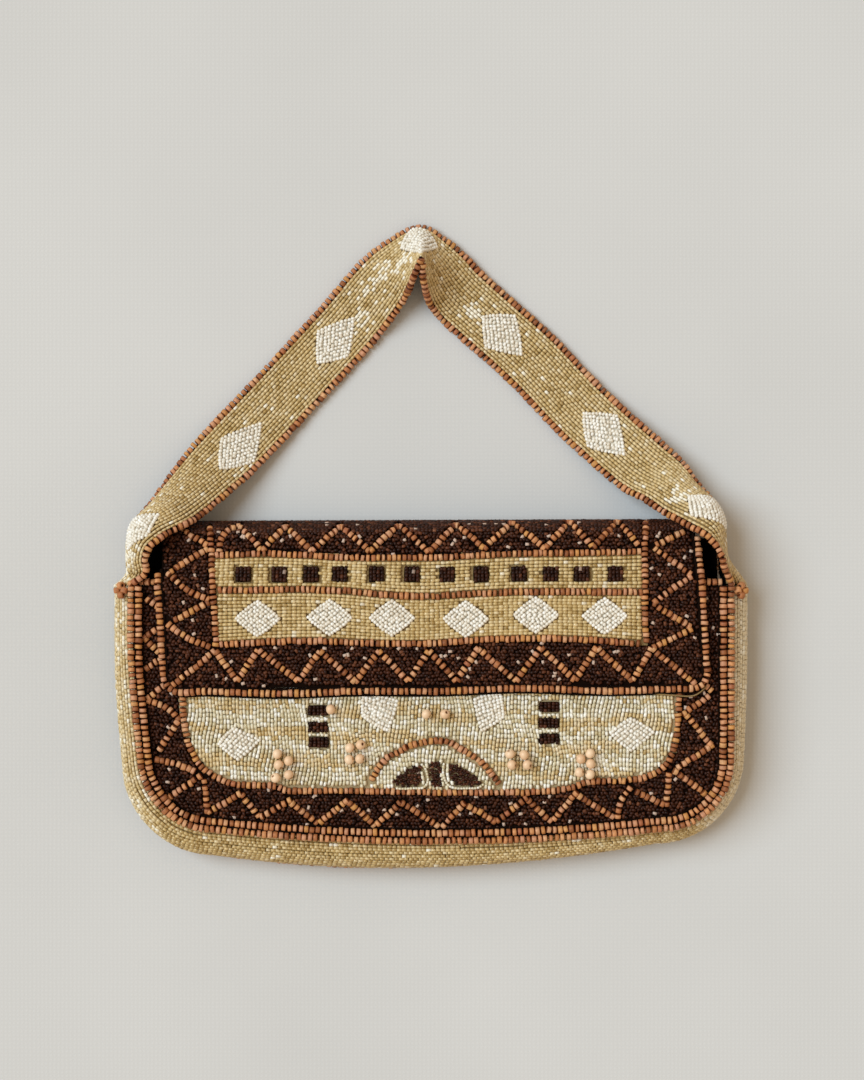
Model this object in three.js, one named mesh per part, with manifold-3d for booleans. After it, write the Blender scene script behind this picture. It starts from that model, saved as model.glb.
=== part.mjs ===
// A slim beaded shoulder bag lying on its back: front, back and gusset of beaded cloth, a fold-over flap,
// a lining, and one wide strap that stands on the gusset's ends and is pinched into a pleat at its top.
// Millimetres, +Z up. The front faces +Z, the mouth and the strap lie towards +Y.
import * as THREE from "three";
import { mergeVertices } from "three/addons/utils/BufferGeometryUtils.js";
import Module from "manifold-3d";

const wasm = await Module();
wasm.setup();

// Cloth and clearances
const WALL = 2.4; // cloth with its layer of small beads
const LINING_WALL = 0.9;
const GAP = 0.3; // between pieces that are sewn together
const FLAP_GAP = 0.7; // the flap lies loosely on the front

// Panels. Plan heights are measured from the lowest point of the front panel's seam.
const PANEL_WIDTH = 248.4;
const FRONT_HEIGHT = 106;
const MOUTH_STEP = 20; // how much further up the back panel reaches
const CORNER_RADIUS = 27;
const CROWN = 3;
const RIPPLE = 0.5; // soft waves across the front
const RIPPLE_LENGTH = 83;

// The panels' outlines, in shares of the corner radius: how far each side draws in towards its foot, how high its
// foot lies, and how far the bottom sags between the feet. The slack front has ridden up over the back.
const OUTLINES = {
  front: { left: { draw: 0.2, foot: 0.19 }, right: { draw: 0, foot: 0.2 }, sag: 0.19 },
  back: { left: { draw: 0.15, foot: -0.28 }, right: { draw: 0.13, foot: 0.06 }, sag: 0.37 },
};
const DRAW_HEIGHT = 80; // plan height at which the sides start to draw in

// Gusset: how deep it holds the bag at its sides and bottom, and how far it bows out there
const SIDE_DEPTH = 19;
const BOTTOM_DEPTH = 15;
const SIDE_BULGE = 9.7;
const BOTTOM_BULGE = 7;
const BACK_SEAM_HEIGHT = 3.6; // the gusset's back edge clears the row of beads that lies on the surface

// Flap
const FLAP_MARGIN = 12.2; // how far each side of the panels reaches past it
const FLAP_WIDTH = PANEL_WIDTH - 2 * FLAP_MARGIN;
const FLAP_EDGE_HEIGHT = 64; // plan height of its free edge
const FLAP_CORNER_RADIUS = 5;
const FLAP_SHIFT = 2.1; // its free edge lies a little to the right
const FLAP_LEAN = 0.06; // and its sides lean back from there
const FLAP_TILT = 0.008; // its fold and free edge rise to the right
const FOLD_REACH = 7.5; // how far the fold stands out past the back panel's top
const FOLD_DROP = 6; // the flap sinks towards its fold, where nothing fills the bag

// Strap: its width between its two rows of edge beads, and how far its pleat lies from the gusset's ends
const STRAP_WIDTH = 23.4;
const STRAP_REACH = 152;
const ROOT_REACH = 0.06; // share of the reach over which its edge rows leave the seam's line

// Rows and loose beads
const EDGE_BEAD_RADIUS = 1.5;
const ROUND_BEAD_RADIUS = 2.1;
const KNOT_BEAD_RADIUS = 1.6;
const KNOT_REACH = 2; // from a knot's middle to its beads
const KNOT_BEADS = 4;
const KNOT_PLACE = 0.15; // how far round the gusset's section from the front seam

// Fineness of the meshes
const SIDE_STEPS = 5;
const CORNER_STEPS = 6;
const ACROSS_STEPS = 14;
const GUSSET_STEPS = 5;
const FOLD_STEPS = 6;
const FLAP_STEPS = 7;
const STRAP_STEPS = 52;
const STRAP_COLUMNS = 4;
const EDGE_SIDES = 8;
const FLAP_CORNER_STEPS = 3;

const lerp = THREE.MathUtils.lerp;
const smooth = (t) => THREE.MathUtils.smoothstep(t, 0, 1);
const radians = THREE.MathUtils.degToRad;
const vector = (x, y, z) => new THREE.Vector3(x, y, z);
const HALF_PANEL = PANEL_WIDTH / 2;
const columns = Array.from({ length: ACROSS_STEPS + 1 }, (_, j) => lerp(-1, 1, j / ACROSS_STEPS));

const beadedCloth = (color) => new THREE.MeshStandardMaterial({ color, roughness: 0.55, metalness: 0 });
const materials = {
  gold: beadedCloth(0xb09a6c),
  dark: beadedCloth(0x35201a),
  lining: new THREE.MeshStandardMaterial({ color: 0x14110f, roughness: 0.95, metalness: 0 }),
  wood: new THREE.MeshStandardMaterial({ color: 0xb4713f, roughness: 0.6, metalness: 0 }),
  peach: new THREE.MeshStandardMaterial({ color: 0xdcb291, roughness: 0.5, metalness: 0 }),
};

// Solids from points

function geometryOf(positions, triangles) {
  const geometry = new THREE.BufferGeometry();
  geometry.setAttribute("position", new THREE.Float32BufferAttribute(positions, 3));
  geometry.setIndex(triangles);
  return geometry;
}

function signedVolume(points, triangles) {
  let volume = 0;
  for (let i = 0; i < triangles.length; i += 3) {
    const [a, b, c] = [points[triangles[i]], points[triangles[i + 1]], points[triangles[i + 2]]];
    volume += a.dot(b.clone().cross(c)) / 6;
  }
  return volume;
}

// A closed solid between two grids of points that match row by row and column by column.
function solidBetween(outer, inner) {
  const rows = outer.length;
  const columns = outer[0].length;
  const points = [...outer.flat(), ...inner.flat()];
  const at = (side, i, j) => side * rows * columns + i * columns + j;
  const triangles = [];
  const quad = (a, b, c, d) => triangles.push(a, b, c, a, c, d);
  for (let i = 0; i + 1 < rows; i++) {
    for (let j = 0; j + 1 < columns; j++) {
      quad(at(0, i, j), at(0, i, j + 1), at(0, i + 1, j + 1), at(0, i + 1, j));
      quad(at(1, i, j), at(1, i + 1, j), at(1, i + 1, j + 1), at(1, i, j + 1));
    }
    quad(at(0, i, 0), at(0, i + 1, 0), at(1, i + 1, 0), at(1, i, 0));
    quad(at(0, i + 1, columns - 1), at(0, i, columns - 1), at(1, i, columns - 1), at(1, i + 1, columns - 1));
  }
  for (let j = 0; j + 1 < columns; j++) {
    quad(at(0, 0, j + 1), at(0, 0, j), at(1, 0, j), at(1, 0, j + 1));
    quad(at(0, rows - 1, j), at(0, rows - 1, j + 1), at(1, rows - 1, j + 1), at(1, rows - 1, j));
  }
  if (signedVolume(points, triangles) < 0) triangles.reverse();
  return geometryOf(points.flatMap((p) => p.toArray()), triangles);
}

// Unit normals of a grid of points, from its neighbours; side is 1 or -1.
function gridNormals(grid, side) {
  const last = grid.length - 1;
  return grid.map((row, i) =>
    row.map((_, j) => {
      const end = row.length - 1;
      const along = grid[Math.min(i + 1, last)][j].clone().sub(grid[Math.max(i - 1, 0)][j]);
      const across = row[Math.min(j + 1, end)].clone().sub(row[Math.max(j - 1, 0)]);
      return across.cross(along).normalize().multiplyScalar(side);
    }),
  );
}

// A sheet of even thickness behind a grid of points on its outer face, with its first and last rows cut square.
function sheet(grid, thickness, side) {
  const normals = gridNormals(grid, side);
  const inner = grid.map((row, i) => row.map((p, j) => p.clone().addScaledVector(normals[i][j], -thickness)));
  for (const i of [0, grid.length - 1]) inner[i].forEach((p, j) => p.setY(grid[i][j].y));
  return solidBetween(grid, inner);
}

// A path that turns where its points do.
class RowPath extends THREE.CatmullRomCurve3 {
  getUtoTmapping(u) {
    return u;
  }
}

function tube(points, radius) {
  const corners = [];
  for (let k = 0; k < EDGE_SIDES; k++) {
    const angle = (k / EDGE_SIDES) * 2 * Math.PI;
    corners.push(new THREE.Vector2(radius * Math.cos(angle), radius * Math.sin(angle)));
  }
  const extrudePath = new RowPath(points, false, "centripetal");
  return new THREE.ExtrudeGeometry(new THREE.Shape(corners), { steps: points.length - 1, extrudePath });
}

function manifoldOf(geometry) {
  const bare = geometry.clone();
  bare.deleteAttribute("normal");
  bare.deleteAttribute("uv");
  const merged = mergeVertices(bare, 1e-3);
  const triVerts = new Uint32Array(merged.index.array);
  return new wasm.Manifold(new wasm.Mesh({ numProp: 3, vertProperties: merged.attributes.position.array, triVerts }));
}

function geometryFrom(manifold) {
  const mesh = manifold.getMesh();
  return geometryOf(Array.from(mesh.vertProperties), Array.from(mesh.triVerts));
}

// Shape of the bag's body

const backTop = FRONT_HEIGHT + MOUTH_STEP;

// How far one side of a panel lies from the middle at height y.
function halfAt(which, side, y) {
  const { draw, foot } = OUTLINES[which][side];
  const into = THREE.MathUtils.clamp((foot + 1) * CORNER_RADIUS - y, 0, CORNER_RADIUS);
  const drawn = draw * CORNER_RADIUS * (1 - smooth((y - foot * CORNER_RADIUS) / DRAW_HEIGHT));
  return HALF_PANEL - CORNER_RADIUS + Math.sqrt(CORNER_RADIUS ** 2 - into ** 2) - drawn;
}

// One side of a panel's outline, moved in by inset, from its top down to the end of its rounded corner.
function sideOutline(which, side, top, inset) {
  const foot = OUTLINES[which][side].foot * CORNER_RADIUS;
  const heights = top > FRONT_HEIGHT ? [top, (top + FRONT_HEIGHT) / 2] : [];
  for (let i = 0; i < SIDE_STEPS; i++) heights.push(lerp(FRONT_HEIGHT, foot + CORNER_RADIUS, i / SIDE_STEPS));
  const point = (y, turn) => {
    const half = halfAt(which, side, y) - inset * Math.cos(turn);
    return { x: side === "left" ? -half : half, y: y + inset * Math.sin(turn), turn };
  };
  const points = heights.map((y) => point(y, 0));
  for (let i = 0; i <= CORNER_STEPS; i++) {
    const turn = ((i / CORNER_STEPS) * Math.PI) / 2;
    points.push(point(foot + CORNER_RADIUS * (1 - Math.sin(turn)), turn));
  }
  return points;
}

// The point at u from -1 to 1 between two points that face each other on a panel's outline.
function between(which, left, right, u) {
  const sag = OUTLINES[which].sag * CORNER_RADIUS * (1 - u * u) * Math.sin(left.turn);
  const share = (1 + u) / 2;
  return { x: lerp(left.x, right.x, share), y: lerp(left.y, right.y, share) - sag };
}

// A grid of plan points over a panel, narrowed by inset all round.
function panelGrid(which, top, inset) {
  const right = sideOutline(which, "right", top, inset);
  return sideOutline(which, "left", top, inset).map((left, i) => columns.map((u) => between(which, left, right[i], u)));
}

// Height of the front seam above the surface that the bag lies on.
function seamHeight(y) {
  return BACK_SEAM_HEIGHT + lerp(BOTTOM_DEPTH, SIDE_DEPTH, smooth((2 * y) / FRONT_HEIGHT));
}

// Height of the front panel's outer face.
function frontHeight(x, y) {
  const u = Math.min(1, Math.abs(x) / halfAt("front", x < 0 ? "left" : "right", Math.min(y, FRONT_HEIGHT)));
  const ripple = RIPPLE * (1 - u * u) * Math.sin((2 * Math.PI * (x + y / 2)) / RIPPLE_LENGTH);
  return seamHeight(y) + (CROWN * (1 - u ** 3) + ripple) * smooth(y / CORNER_RADIUS);
}

function frontPanel() {
  const grid = panelGrid("front", FRONT_HEIGHT, GAP);
  const faceAt = (depth) => grid.map((row) => row.map(({ x, y }) => vector(x, y, frontHeight(x, y) - depth)));
  return solidBetween(faceAt(0), faceAt(WALL));
}

function backPanel() {
  const grid = panelGrid("back", backTop, EDGE_BEAD_RADIUS);
  const faceAt = (z) => grid.map((row) => row.map(({ x, y }) => vector(x, y, z)));
  return solidBetween(faceAt(0), faceAt(WALL));
}

// Stations round the seam, from the left top down, along the bottom and up to the right top.
function seamStations() {
  const outline = (which, side) => sideOutline(which, side, FRONT_HEIGHT, 0);
  const side = (name, sign) =>
    outline("front", name).map((front, i) => {
      const { turn } = front;
      const out = [sign * Math.cos(turn), -Math.sin(turn)];
      return { front, back: outline("back", name)[i], out, low: Math.sin(turn) };
    });
  const [left, right] = [side("left", -1), side("right", 1)];
  const [leftFoot, rightFoot] = [left[left.length - 1], right[right.length - 1]];
  const bottom = columns.slice(1, -1).map((u) => ({
    front: between("front", leftFoot.front, rightFoot.front, u),
    back: between("back", leftFoot.back, rightFoot.back, u),
    out: [0, -1],
    low: 1,
  }));
  return [...left, ...bottom, ...right.reverse()];
}

const stations = seamStations();

// Point on the front or back seam of a station, moved outwards and up.
function seamPoint(station, which, outwards, up) {
  const { x, y } = station[which];
  const z = which === "front" ? seamHeight(y) : BACK_SEAM_HEIGHT;
  return vector(x + station.out[0] * outwards, y + station.out[1] * outwards, z + up);
}

// One bowed section of the gusset, from the front seam to the back seam.
function gussetSection(station, shrink) {
  const start = seamPoint(station, "front", GAP, -shrink);
  const end = seamPoint(station, "back", GAP, shrink);
  const out = vector(station.out[0], station.out[1], 0);
  const chord = end.clone().sub(start);
  const normal = out.clone().multiplyScalar(-chord.z).add(vector(0, 0, out.dot(chord))).normalize();
  const bulge = lerp(SIDE_BULGE, BOTTOM_BULGE, station.low) - shrink;
  const control = start.clone().add(end).multiplyScalar(0.5).addScaledVector(normal, 2 * bulge);
  return new THREE.QuadraticBezierCurve3(start, control, end).getPoints(GUSSET_STEPS);
}

function gusset() {
  const sections = (shrink) => stations.map((station) => gussetSection(station, shrink));
  return solidBetween(sections(0), sections(WALL));
}

// The flap leaves the back panel's top, turns over in a soft fold and lies on the front panel.
// Each step has a share: how far up the fold it is, from 0 below to 1 where it lies over the front.
function flapProfile() {
  const profile = [];
  for (let i = 0; i < FOLD_STEPS; i++) {
    const turn = lerp(-Math.PI / 2, Math.PI / 2, i / FOLD_STEPS);
    profile.push({ y: backTop + GAP + FOLD_REACH * Math.cos(turn), share: (1 + Math.sin(turn)) / 2 });
  }
  for (let i = 0; i < FLAP_STEPS; i++) {
    profile.push({ y: lerp(backTop, FLAP_EDGE_HEIGHT + FLAP_CORNER_RADIUS, i / FLAP_STEPS), share: 1 });
  }
  for (let i = 0; i <= FLAP_CORNER_STEPS; i++) {
    const turn = ((i / FLAP_CORNER_STEPS) * Math.PI) / 2;
    profile.push({ y: FLAP_EDGE_HEIGHT + FLAP_CORNER_RADIUS * (1 - Math.sin(turn)), share: 1 });
  }
  return profile;
}

// Height of the flap's outer face where it lies over the front panel.
function flapHeight(x, y) {
  const drop = FOLD_DROP * smooth((y - FRONT_HEIGHT) / MOUTH_STEP);
  return frontHeight(x, Math.min(y, FRONT_HEIGHT)) + FLAP_GAP + WALL - drop;
}

function flapHalf(y) {
  const into = THREE.MathUtils.clamp(FLAP_EDGE_HEIGHT + FLAP_CORNER_RADIUS - y, 0, FLAP_CORNER_RADIUS);
  return FLAP_WIDTH / 2 - FLAP_CORNER_RADIUS + Math.sqrt(FLAP_CORNER_RADIUS ** 2 - into ** 2);
}

// Plan place of a point of the flap before it leans and tilts.
function flapPlace(x, y, share) {
  const z = share * flapHeight(x, Math.min(Math.max(y, FLAP_EDGE_HEIGHT), backTop));
  return vector(x + FLAP_SHIFT - FLAP_LEAN * (y - FLAP_EDGE_HEIGHT), y + FLAP_TILT * x * share, z);
}

function flapGrid() {
  return flapProfile().map(({ y, share }) => columns.map((u) => flapPlace(u * flapHalf(y), y, share)));
}

// Pocket of lining, open at the mouth, with its back running on up to the flap.
function lining() {
  const slab = (inset, bottom, rise, top) => {
    const grid = panelGrid("front", top, inset).map((row) => row.filter((_, j) => j % 2 === 0));
    const face = (height) => grid.map((row) => row.map((p) => vector(p.x, p.y, height(p))));
    return solidBetween(face((p) => frontHeight(p.x, Math.min(p.y, FRONT_HEIGHT)) - rise), face(() => bottom));
  };
  const inset = WALL + EDGE_BEAD_RADIUS + 2 * GAP;
  const depth = WALL + 2 * GAP;
  const outer = manifoldOf(slab(inset, WALL + GAP, depth, backTop - GAP));
  const inner = manifoldOf(slab(inset + LINING_WALL, WALL + GAP + LINING_WALL, depth + LINING_WALL, backTop + GAP));
  const mouth = new THREE.BoxGeometry(PANEL_WIDTH, 2 * MOUTH_STEP, 2 * SIDE_DEPTH);
  mouth.translate(0, FRONT_HEIGHT - GAP + MOUTH_STEP, WALL + GAP + LINING_WALL + SIDE_DEPTH);
  return geometryFrom(outer.subtract(inner).subtract(manifoldOf(mouth)));
}

// The strap, one row for each section. across is the plan direction from its outer to its inner edge and lift the
// angle that its inner edge is raised by. x is a share of half the panel, y of the strap's reach, rise (of its
// outer edge) of the side depth, and bow of the gusset's bulge.
const ROOT_RISE = (BACK_SEAM_HEIGHT - WALL - GAP) / SIDE_DEPTH;
const STRAP_SECTIONS = [
  { x: -1, y: 0, rise: ROOT_RISE, across: 0, lift: 90, bow: 1 },
  { x: -0.993, y: 0.029, rise: 0.1, across: -2, lift: 72, bow: 0.6 },
  { x: -0.9935, y: 0.072, rise: 0.25, across: -6, lift: 75, bow: 0.55 },
  { x: -0.984, y: 0.1185, rise: 0.42, across: -12, lift: 65, bow: 0.6 },
  { x: -0.952, y: 0.162, rise: 0.57, across: -20, lift: 42, bow: 0.75 },
  { x: -0.8915, y: 0.202, rise: 0.6, across: -29, lift: 30, bow: 0.65 },
  { x: -0.843, y: 0.243, rise: 0.45, across: -37, lift: 20, bow: 0.5 },
  { x: -0.757, y: 0.318, rise: 0.3, across: -40, lift: 8, bow: 0.2 },
  { x: -0.675, y: 0.387, rise: 0.18, across: -42, lift: 2, bow: 0 },
  { x: -0.51, y: 0.532, rise: 0.03, across: -42, lift: 0, bow: 0 },
  { x: -0.293, y: 0.725, rise: 0, across: -40, lift: 0, bow: 0 },
  { x: -0.181, y: 0.838, rise: 0.02, across: -43, lift: 14, bow: 0 },
  { x: -0.11, y: 0.907, rise: 0.05, across: -58, lift: 38, bow: 0 },
  { x: -0.034, y: 0.957, rise: 0.06, across: -87, lift: 52, bow: 0 },
  { x: 0.022, y: 0.9, rise: 0.05, across: -117, lift: 32, bow: 0 },
  { x: 0.088, y: 0.825, rise: 0.02, across: -131, lift: 3, bow: 0 },
  { x: 0.17, y: 0.762, rise: 0, across: -133, lift: 0, bow: 0 },
  { x: 0.351, y: 0.629, rise: 0, across: -135, lift: 0, bow: 0 },
  { x: 0.519, y: 0.485, rise: 0.05, across: -134, lift: 0, bow: 0 },
  { x: 0.703, y: 0.347, rise: 0.26, across: -134, lift: 6, bow: 0 },
  { x: 0.793, y: 0.292, rise: 0.4, across: -138, lift: 18, bow: 0.25 },
  { x: 0.848, y: 0.247, rise: 0.5, across: -141, lift: 28, bow: 0.5 },
  { x: 0.9126, y: 0.204, rise: 0.58, across: -145, lift: 40, bow: 0.7 },
  { x: 0.9537, y: 0.16, rise: 0.4, across: -152, lift: 67, bow: 0.6 },
  { x: 0.981, y: 0.116, rise: 0.23, across: -160, lift: 80, bow: 0.3 },
  { x: 0.9955, y: 0.066, rise: 0.2, across: -168, lift: 86, bow: 0.25 },
  { x: 1, y: 0, rise: ROOT_RISE, across: -180, lift: 90, bow: 1 },
];

// Value of a column of the strap's table at t from 0 to 1, on a smooth curve through its rows.
function strapValue(column, t) {
  const last = STRAP_SECTIONS.length - 1;
  const i = Math.min(Math.floor(t * last), last - 1);
  const value = (k) => STRAP_SECTIONS[THREE.MathUtils.clamp(k, 0, last)][column];
  const [a, b, c, d] = [value(i - 1), value(i), value(i + 1), value(i + 2)];
  const f = t * last - i;
  const start = (c - a) / 2;
  const end = (d - b) / 2;
  return (2 * b - 2 * c + start + end) * f ** 3 + (3 * c - 3 * b - 2 * start - end) * f ** 2 + start * f + b;
}

// Frame of the strap at t: its middle, the direction from outer to inner edge, its face normal and half its chord.
function strapFrame(t) {
  const share = strapValue("bow", t);
  const across = radians(strapValue("across", t));
  const lift = radians(Math.max(0, strapValue("lift", t)));
  const half = lerp(STRAP_WIDTH, SIDE_DEPTH, Math.max(0, share)) / 2;
  const inwards = vector(Math.cos(across), Math.sin(across), 0);
  const direction = inwards.clone().multiplyScalar(Math.cos(lift)).add(vector(0, 0, Math.sin(lift)));
  const normal = inwards.clone().multiplyScalar(-Math.sin(lift)).add(vector(0, 0, Math.cos(lift)));
  const x = strapValue("x", t) * (HALF_PANEL + GAP);
  const y = FRONT_HEIGHT + GAP + strapValue("y", t) * STRAP_REACH;
  const z = WALL + GAP + Math.max(0, strapValue("rise", t)) * SIDE_DEPTH + half * Math.sin(lift);
  return { middle: vector(x, y, z), direction, normal, half, bow: Math.max(0, share) * SIDE_BULGE };
}

// Point on the strap's face, v from -1 at its outer edge to 1 at its inner edge.
function strapPoint(t, v) {
  const { middle, direction, normal, half, bow } = strapFrame(t);
  return middle.clone().addScaledVector(direction, v * half).addScaledVector(normal, bow * (1 - v * v));
}

const strapGrid = Array.from({ length: STRAP_STEPS + 1 }, (_, i) =>
  Array.from({ length: STRAP_COLUMNS + 1 }, (_, j) => strapPoint(i / STRAP_STEPS, lerp(-1, 1, j / STRAP_COLUMNS))),
);
const strapNormals = gridNormals(strapGrid, 1);

// Rows of edge beads, as plain tubes

// A row along one edge of the strap. It carries on where the strap's face ends, and at the gusset it stands on the
// seam's line, outside the panels.
function strapEdge(v) {
  const edge = v < 0 ? 0 : STRAP_COLUMNS;
  const points = strapGrid.map((row, i) => {
    const { direction, normal } = strapFrame(i / STRAP_STEPS);
    const root = 1 - smooth(strapValue("y", i / STRAP_STEPS) / ROOT_REACH);
    const face = strapNormals[i][edge];
    const away = row[edge].clone().sub(row[edge - v]);
    away.addScaledVector(face, -away.dot(face)).normalize().lerp(direction.multiplyScalar(v), root).normalize();
    const out = face.clone().lerp(normal, root).normalize();
    const proud = lerp(EDGE_BEAD_RADIUS - WALL, EDGE_BEAD_RADIUS, root);
    return row[edge].clone().addScaledVector(away, 2 * GAP + EDGE_BEAD_RADIUS).addScaledVector(out, proud);
  });
  for (const end of [points[0], points[STRAP_STEPS]]) end.y += EDGE_BEAD_RADIUS;
  return tube(points, EDGE_BEAD_RADIUS);
}

// A row that lies on the front, beside its seam. aside is -1 on the panel and 1 on the gusset.
function frontEdge(aside) {
  const reach = EDGE_BEAD_RADIUS + GAP / 2;
  const points = stations.map((s) => seamPoint(s, "front", aside * reach, EDGE_BEAD_RADIUS + GAP));
  return tube(points, EDGE_BEAD_RADIUS);
}

// The back's row lies right under the seam, so that the gusset hides it from the front.
function backEdge() {
  const up = EDGE_BEAD_RADIUS + GAP - BACK_SEAM_HEIGHT;
  return tube(stations.map((s) => seamPoint(s, "back", 2 * GAP, up)), EDGE_BEAD_RADIUS);
}

function flapEdge() {
  const reach = EDGE_BEAD_RADIUS + GAP;
  const radius = FLAP_CORNER_RADIUS + reach;
  const half = FLAP_WIDTH / 2 + reach;
  const place = (x, y) => flapPlace(x, y, 1).add(vector(0, 0, EDGE_BEAD_RADIUS - WALL));
  const side = (sign) => {
    const points = [];
    for (let i = 0; i < SIDE_STEPS; i++) {
      points.push(place(sign * half, lerp(backTop, FLAP_EDGE_HEIGHT + FLAP_CORNER_RADIUS, i / SIDE_STEPS)));
    }
    for (let i = 0; i <= FLAP_CORNER_STEPS; i++) {
      const turn = ((i / FLAP_CORNER_STEPS) * Math.PI) / 2;
      const x = half - radius * (1 - Math.cos(turn));
      points.push(place(sign * x, FLAP_EDGE_HEIGHT + FLAP_CORNER_RADIUS - radius * Math.sin(turn)));
    }
    return points;
  };
  const bottom = columns.slice(1, -1).map((u) => place(u * (half - radius), FLAP_EDGE_HEIGHT - reach));
  return tube([...side(-1), ...bottom, ...side(1).reverse()], EDGE_BEAD_RADIUS);
}

// Loose round beads and knots of beads

const ball = (radius) => new THREE.IcosahedronGeometry(radius, 1);

// The round beads on the front panel in clusters. x is a share of half the panel and y of the flap's edge height;
// each bead is placed round its cluster's middle in bead radii.
const ROUND_BEAD_CLUSTERS = [
  { x: -0.499, y: 0.484, beads: [[-1.1, 2.24], [1.14, 0.86], [-0.86, 0.05], [1.14, -1.95], [-1.48, -2.57]] },
  { x: -0.258, y: 0.563, beads: [[-0.95, 1.05], [1.24, 1.67], [-1.05, -1.33], [1.05, -1.14]] },
  { x: 0.294, y: 0.52, beads: [[-1.67, 1.14], [1.14, 0.95], [-1.29, -1.05], [1.81, -1.05]] },
  { x: 0.519, y: 0.492, beads: [[1, 2.1], [-0.9, 1], [1.1, 0], [-1.1, -1.71], [1, -2.14]] },
  { x: 0.016, y: 0.82, beads: [[-1.9, 0], [1.81, 0]] },
  { x: -0.338, y: 0.85, beads: [[0, 0]] },
];

function addRoundBeads(bag) {
  let count = 0;
  for (const cluster of ROUND_BEAD_CLUSTERS) {
    for (const [dx, dy] of cluster.beads) {
      const x = cluster.x * HALF_PANEL + dx * ROUND_BEAD_RADIUS;
      const y = cluster.y * FLAP_EDGE_HEIGHT + dy * ROUND_BEAD_RADIUS;
      const mesh = new THREE.Mesh(ball(ROUND_BEAD_RADIUS), materials.peach);
      mesh.position.set(x, y, frontHeight(x, y) + ROUND_BEAD_RADIUS + GAP);
      mesh.name = "round_bead_" + String(++count).padStart(2, "0");
      bag.add(mesh);
    }
  }
}

// A few beads in a ring where the edge rows are tied off, fused into one body.
function knot() {
  const beads = Array.from({ length: KNOT_BEADS }, (_, k) => {
    const angle = (k / KNOT_BEADS) * 2 * Math.PI;
    const bead = ball(KNOT_BEAD_RADIUS);
    bead.translate(KNOT_REACH * Math.cos(angle), KNOT_REACH * Math.sin(angle), 0);
    return manifoldOf(bead);
  });
  return geometryFrom(beads.reduce((all, bead) => all.add(bead)));
}

// The knot rests on the gusset beside one end of the front seam.
function addKnot(bag, name, station) {
  const section = gussetSection(station, 0);
  const curve = new THREE.CatmullRomCurve3(section);
  const [sign] = station.out;
  const along = curve.getTangent(KNOT_PLACE);
  const outwards = vector(-along.z * sign, 0, Math.abs(along.x)).normalize();
  const mesh = new THREE.Mesh(knot(), materials.wood);
  mesh.name = name;
  const clear = KNOT_BEAD_RADIUS + GAP;
  mesh.position.copy(curve.getPoint(KNOT_PLACE)).addScaledVector(outwards, clear).add(vector(0, -KNOT_REACH, 0));
  mesh.rotation.y = -sign * Math.atan2(outwards.x * sign, outwards.z) * -1;
  bag.add(mesh);
}

const bag = new THREE.Group();
function add(name, geometry, material) {
  const mesh = new THREE.Mesh(geometry, material);
  mesh.name = name;
  bag.add(mesh);
}
add("front_panel", frontPanel(), materials.gold);
add("back_panel", backPanel(), materials.gold);
add("gusset", gusset(), materials.gold);
add("flap", sheet(flapGrid(), WALL, -1), materials.dark);
add("lining", lining(), materials.lining);
add("strap", sheet(strapGrid, WALL, 1), materials.gold);
add("front_edge_beads_inner", frontEdge(-1), materials.wood);
add("front_edge_beads_outer", frontEdge(1), materials.wood);
add("back_edge_beads", backEdge(), materials.wood);
add("flap_edge_beads", flapEdge(), materials.wood);
add("strap_edge_beads_inner", strapEdge(1), materials.wood);
add("strap_edge_beads_outer", strapEdge(-1), materials.wood);
addKnot(bag, "bead_knot_left", stations[0]);
addKnot(bag, "bead_knot_right", stations[stations.length - 1]);
addRoundBeads(bag);

// The origin is the middle of the whole bag's footprint.
const footprint = new THREE.Box3().setFromObject(bag, true);
bag.position.set(-(footprint.min.x + footprint.max.x) / 2, -(footprint.min.y + footprint.max.y) / 2, -footprint.min.z);

export default bag;
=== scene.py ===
# Looks of a beaded shoulder bag that lies on its back: cloth walls covered with small glass beads,
# rows of wooden beads, white diamonds and dark zigzag borders.
import math
import bpy
import numpy as np
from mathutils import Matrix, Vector


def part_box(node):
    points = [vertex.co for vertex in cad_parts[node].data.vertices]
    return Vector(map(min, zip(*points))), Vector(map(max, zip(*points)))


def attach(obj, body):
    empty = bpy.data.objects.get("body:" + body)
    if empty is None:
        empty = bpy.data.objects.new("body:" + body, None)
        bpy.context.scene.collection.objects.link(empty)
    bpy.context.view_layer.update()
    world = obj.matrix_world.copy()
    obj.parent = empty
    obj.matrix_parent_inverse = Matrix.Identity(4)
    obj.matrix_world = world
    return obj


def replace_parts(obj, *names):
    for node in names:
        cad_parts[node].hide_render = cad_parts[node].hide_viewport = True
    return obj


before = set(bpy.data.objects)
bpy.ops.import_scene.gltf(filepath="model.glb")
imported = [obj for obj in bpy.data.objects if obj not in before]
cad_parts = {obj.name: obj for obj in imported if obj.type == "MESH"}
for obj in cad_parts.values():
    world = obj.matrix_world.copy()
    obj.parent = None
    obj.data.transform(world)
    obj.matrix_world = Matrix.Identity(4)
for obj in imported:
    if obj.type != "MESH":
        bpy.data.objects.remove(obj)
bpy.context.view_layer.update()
rng = np.random.default_rng(11)

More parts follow.
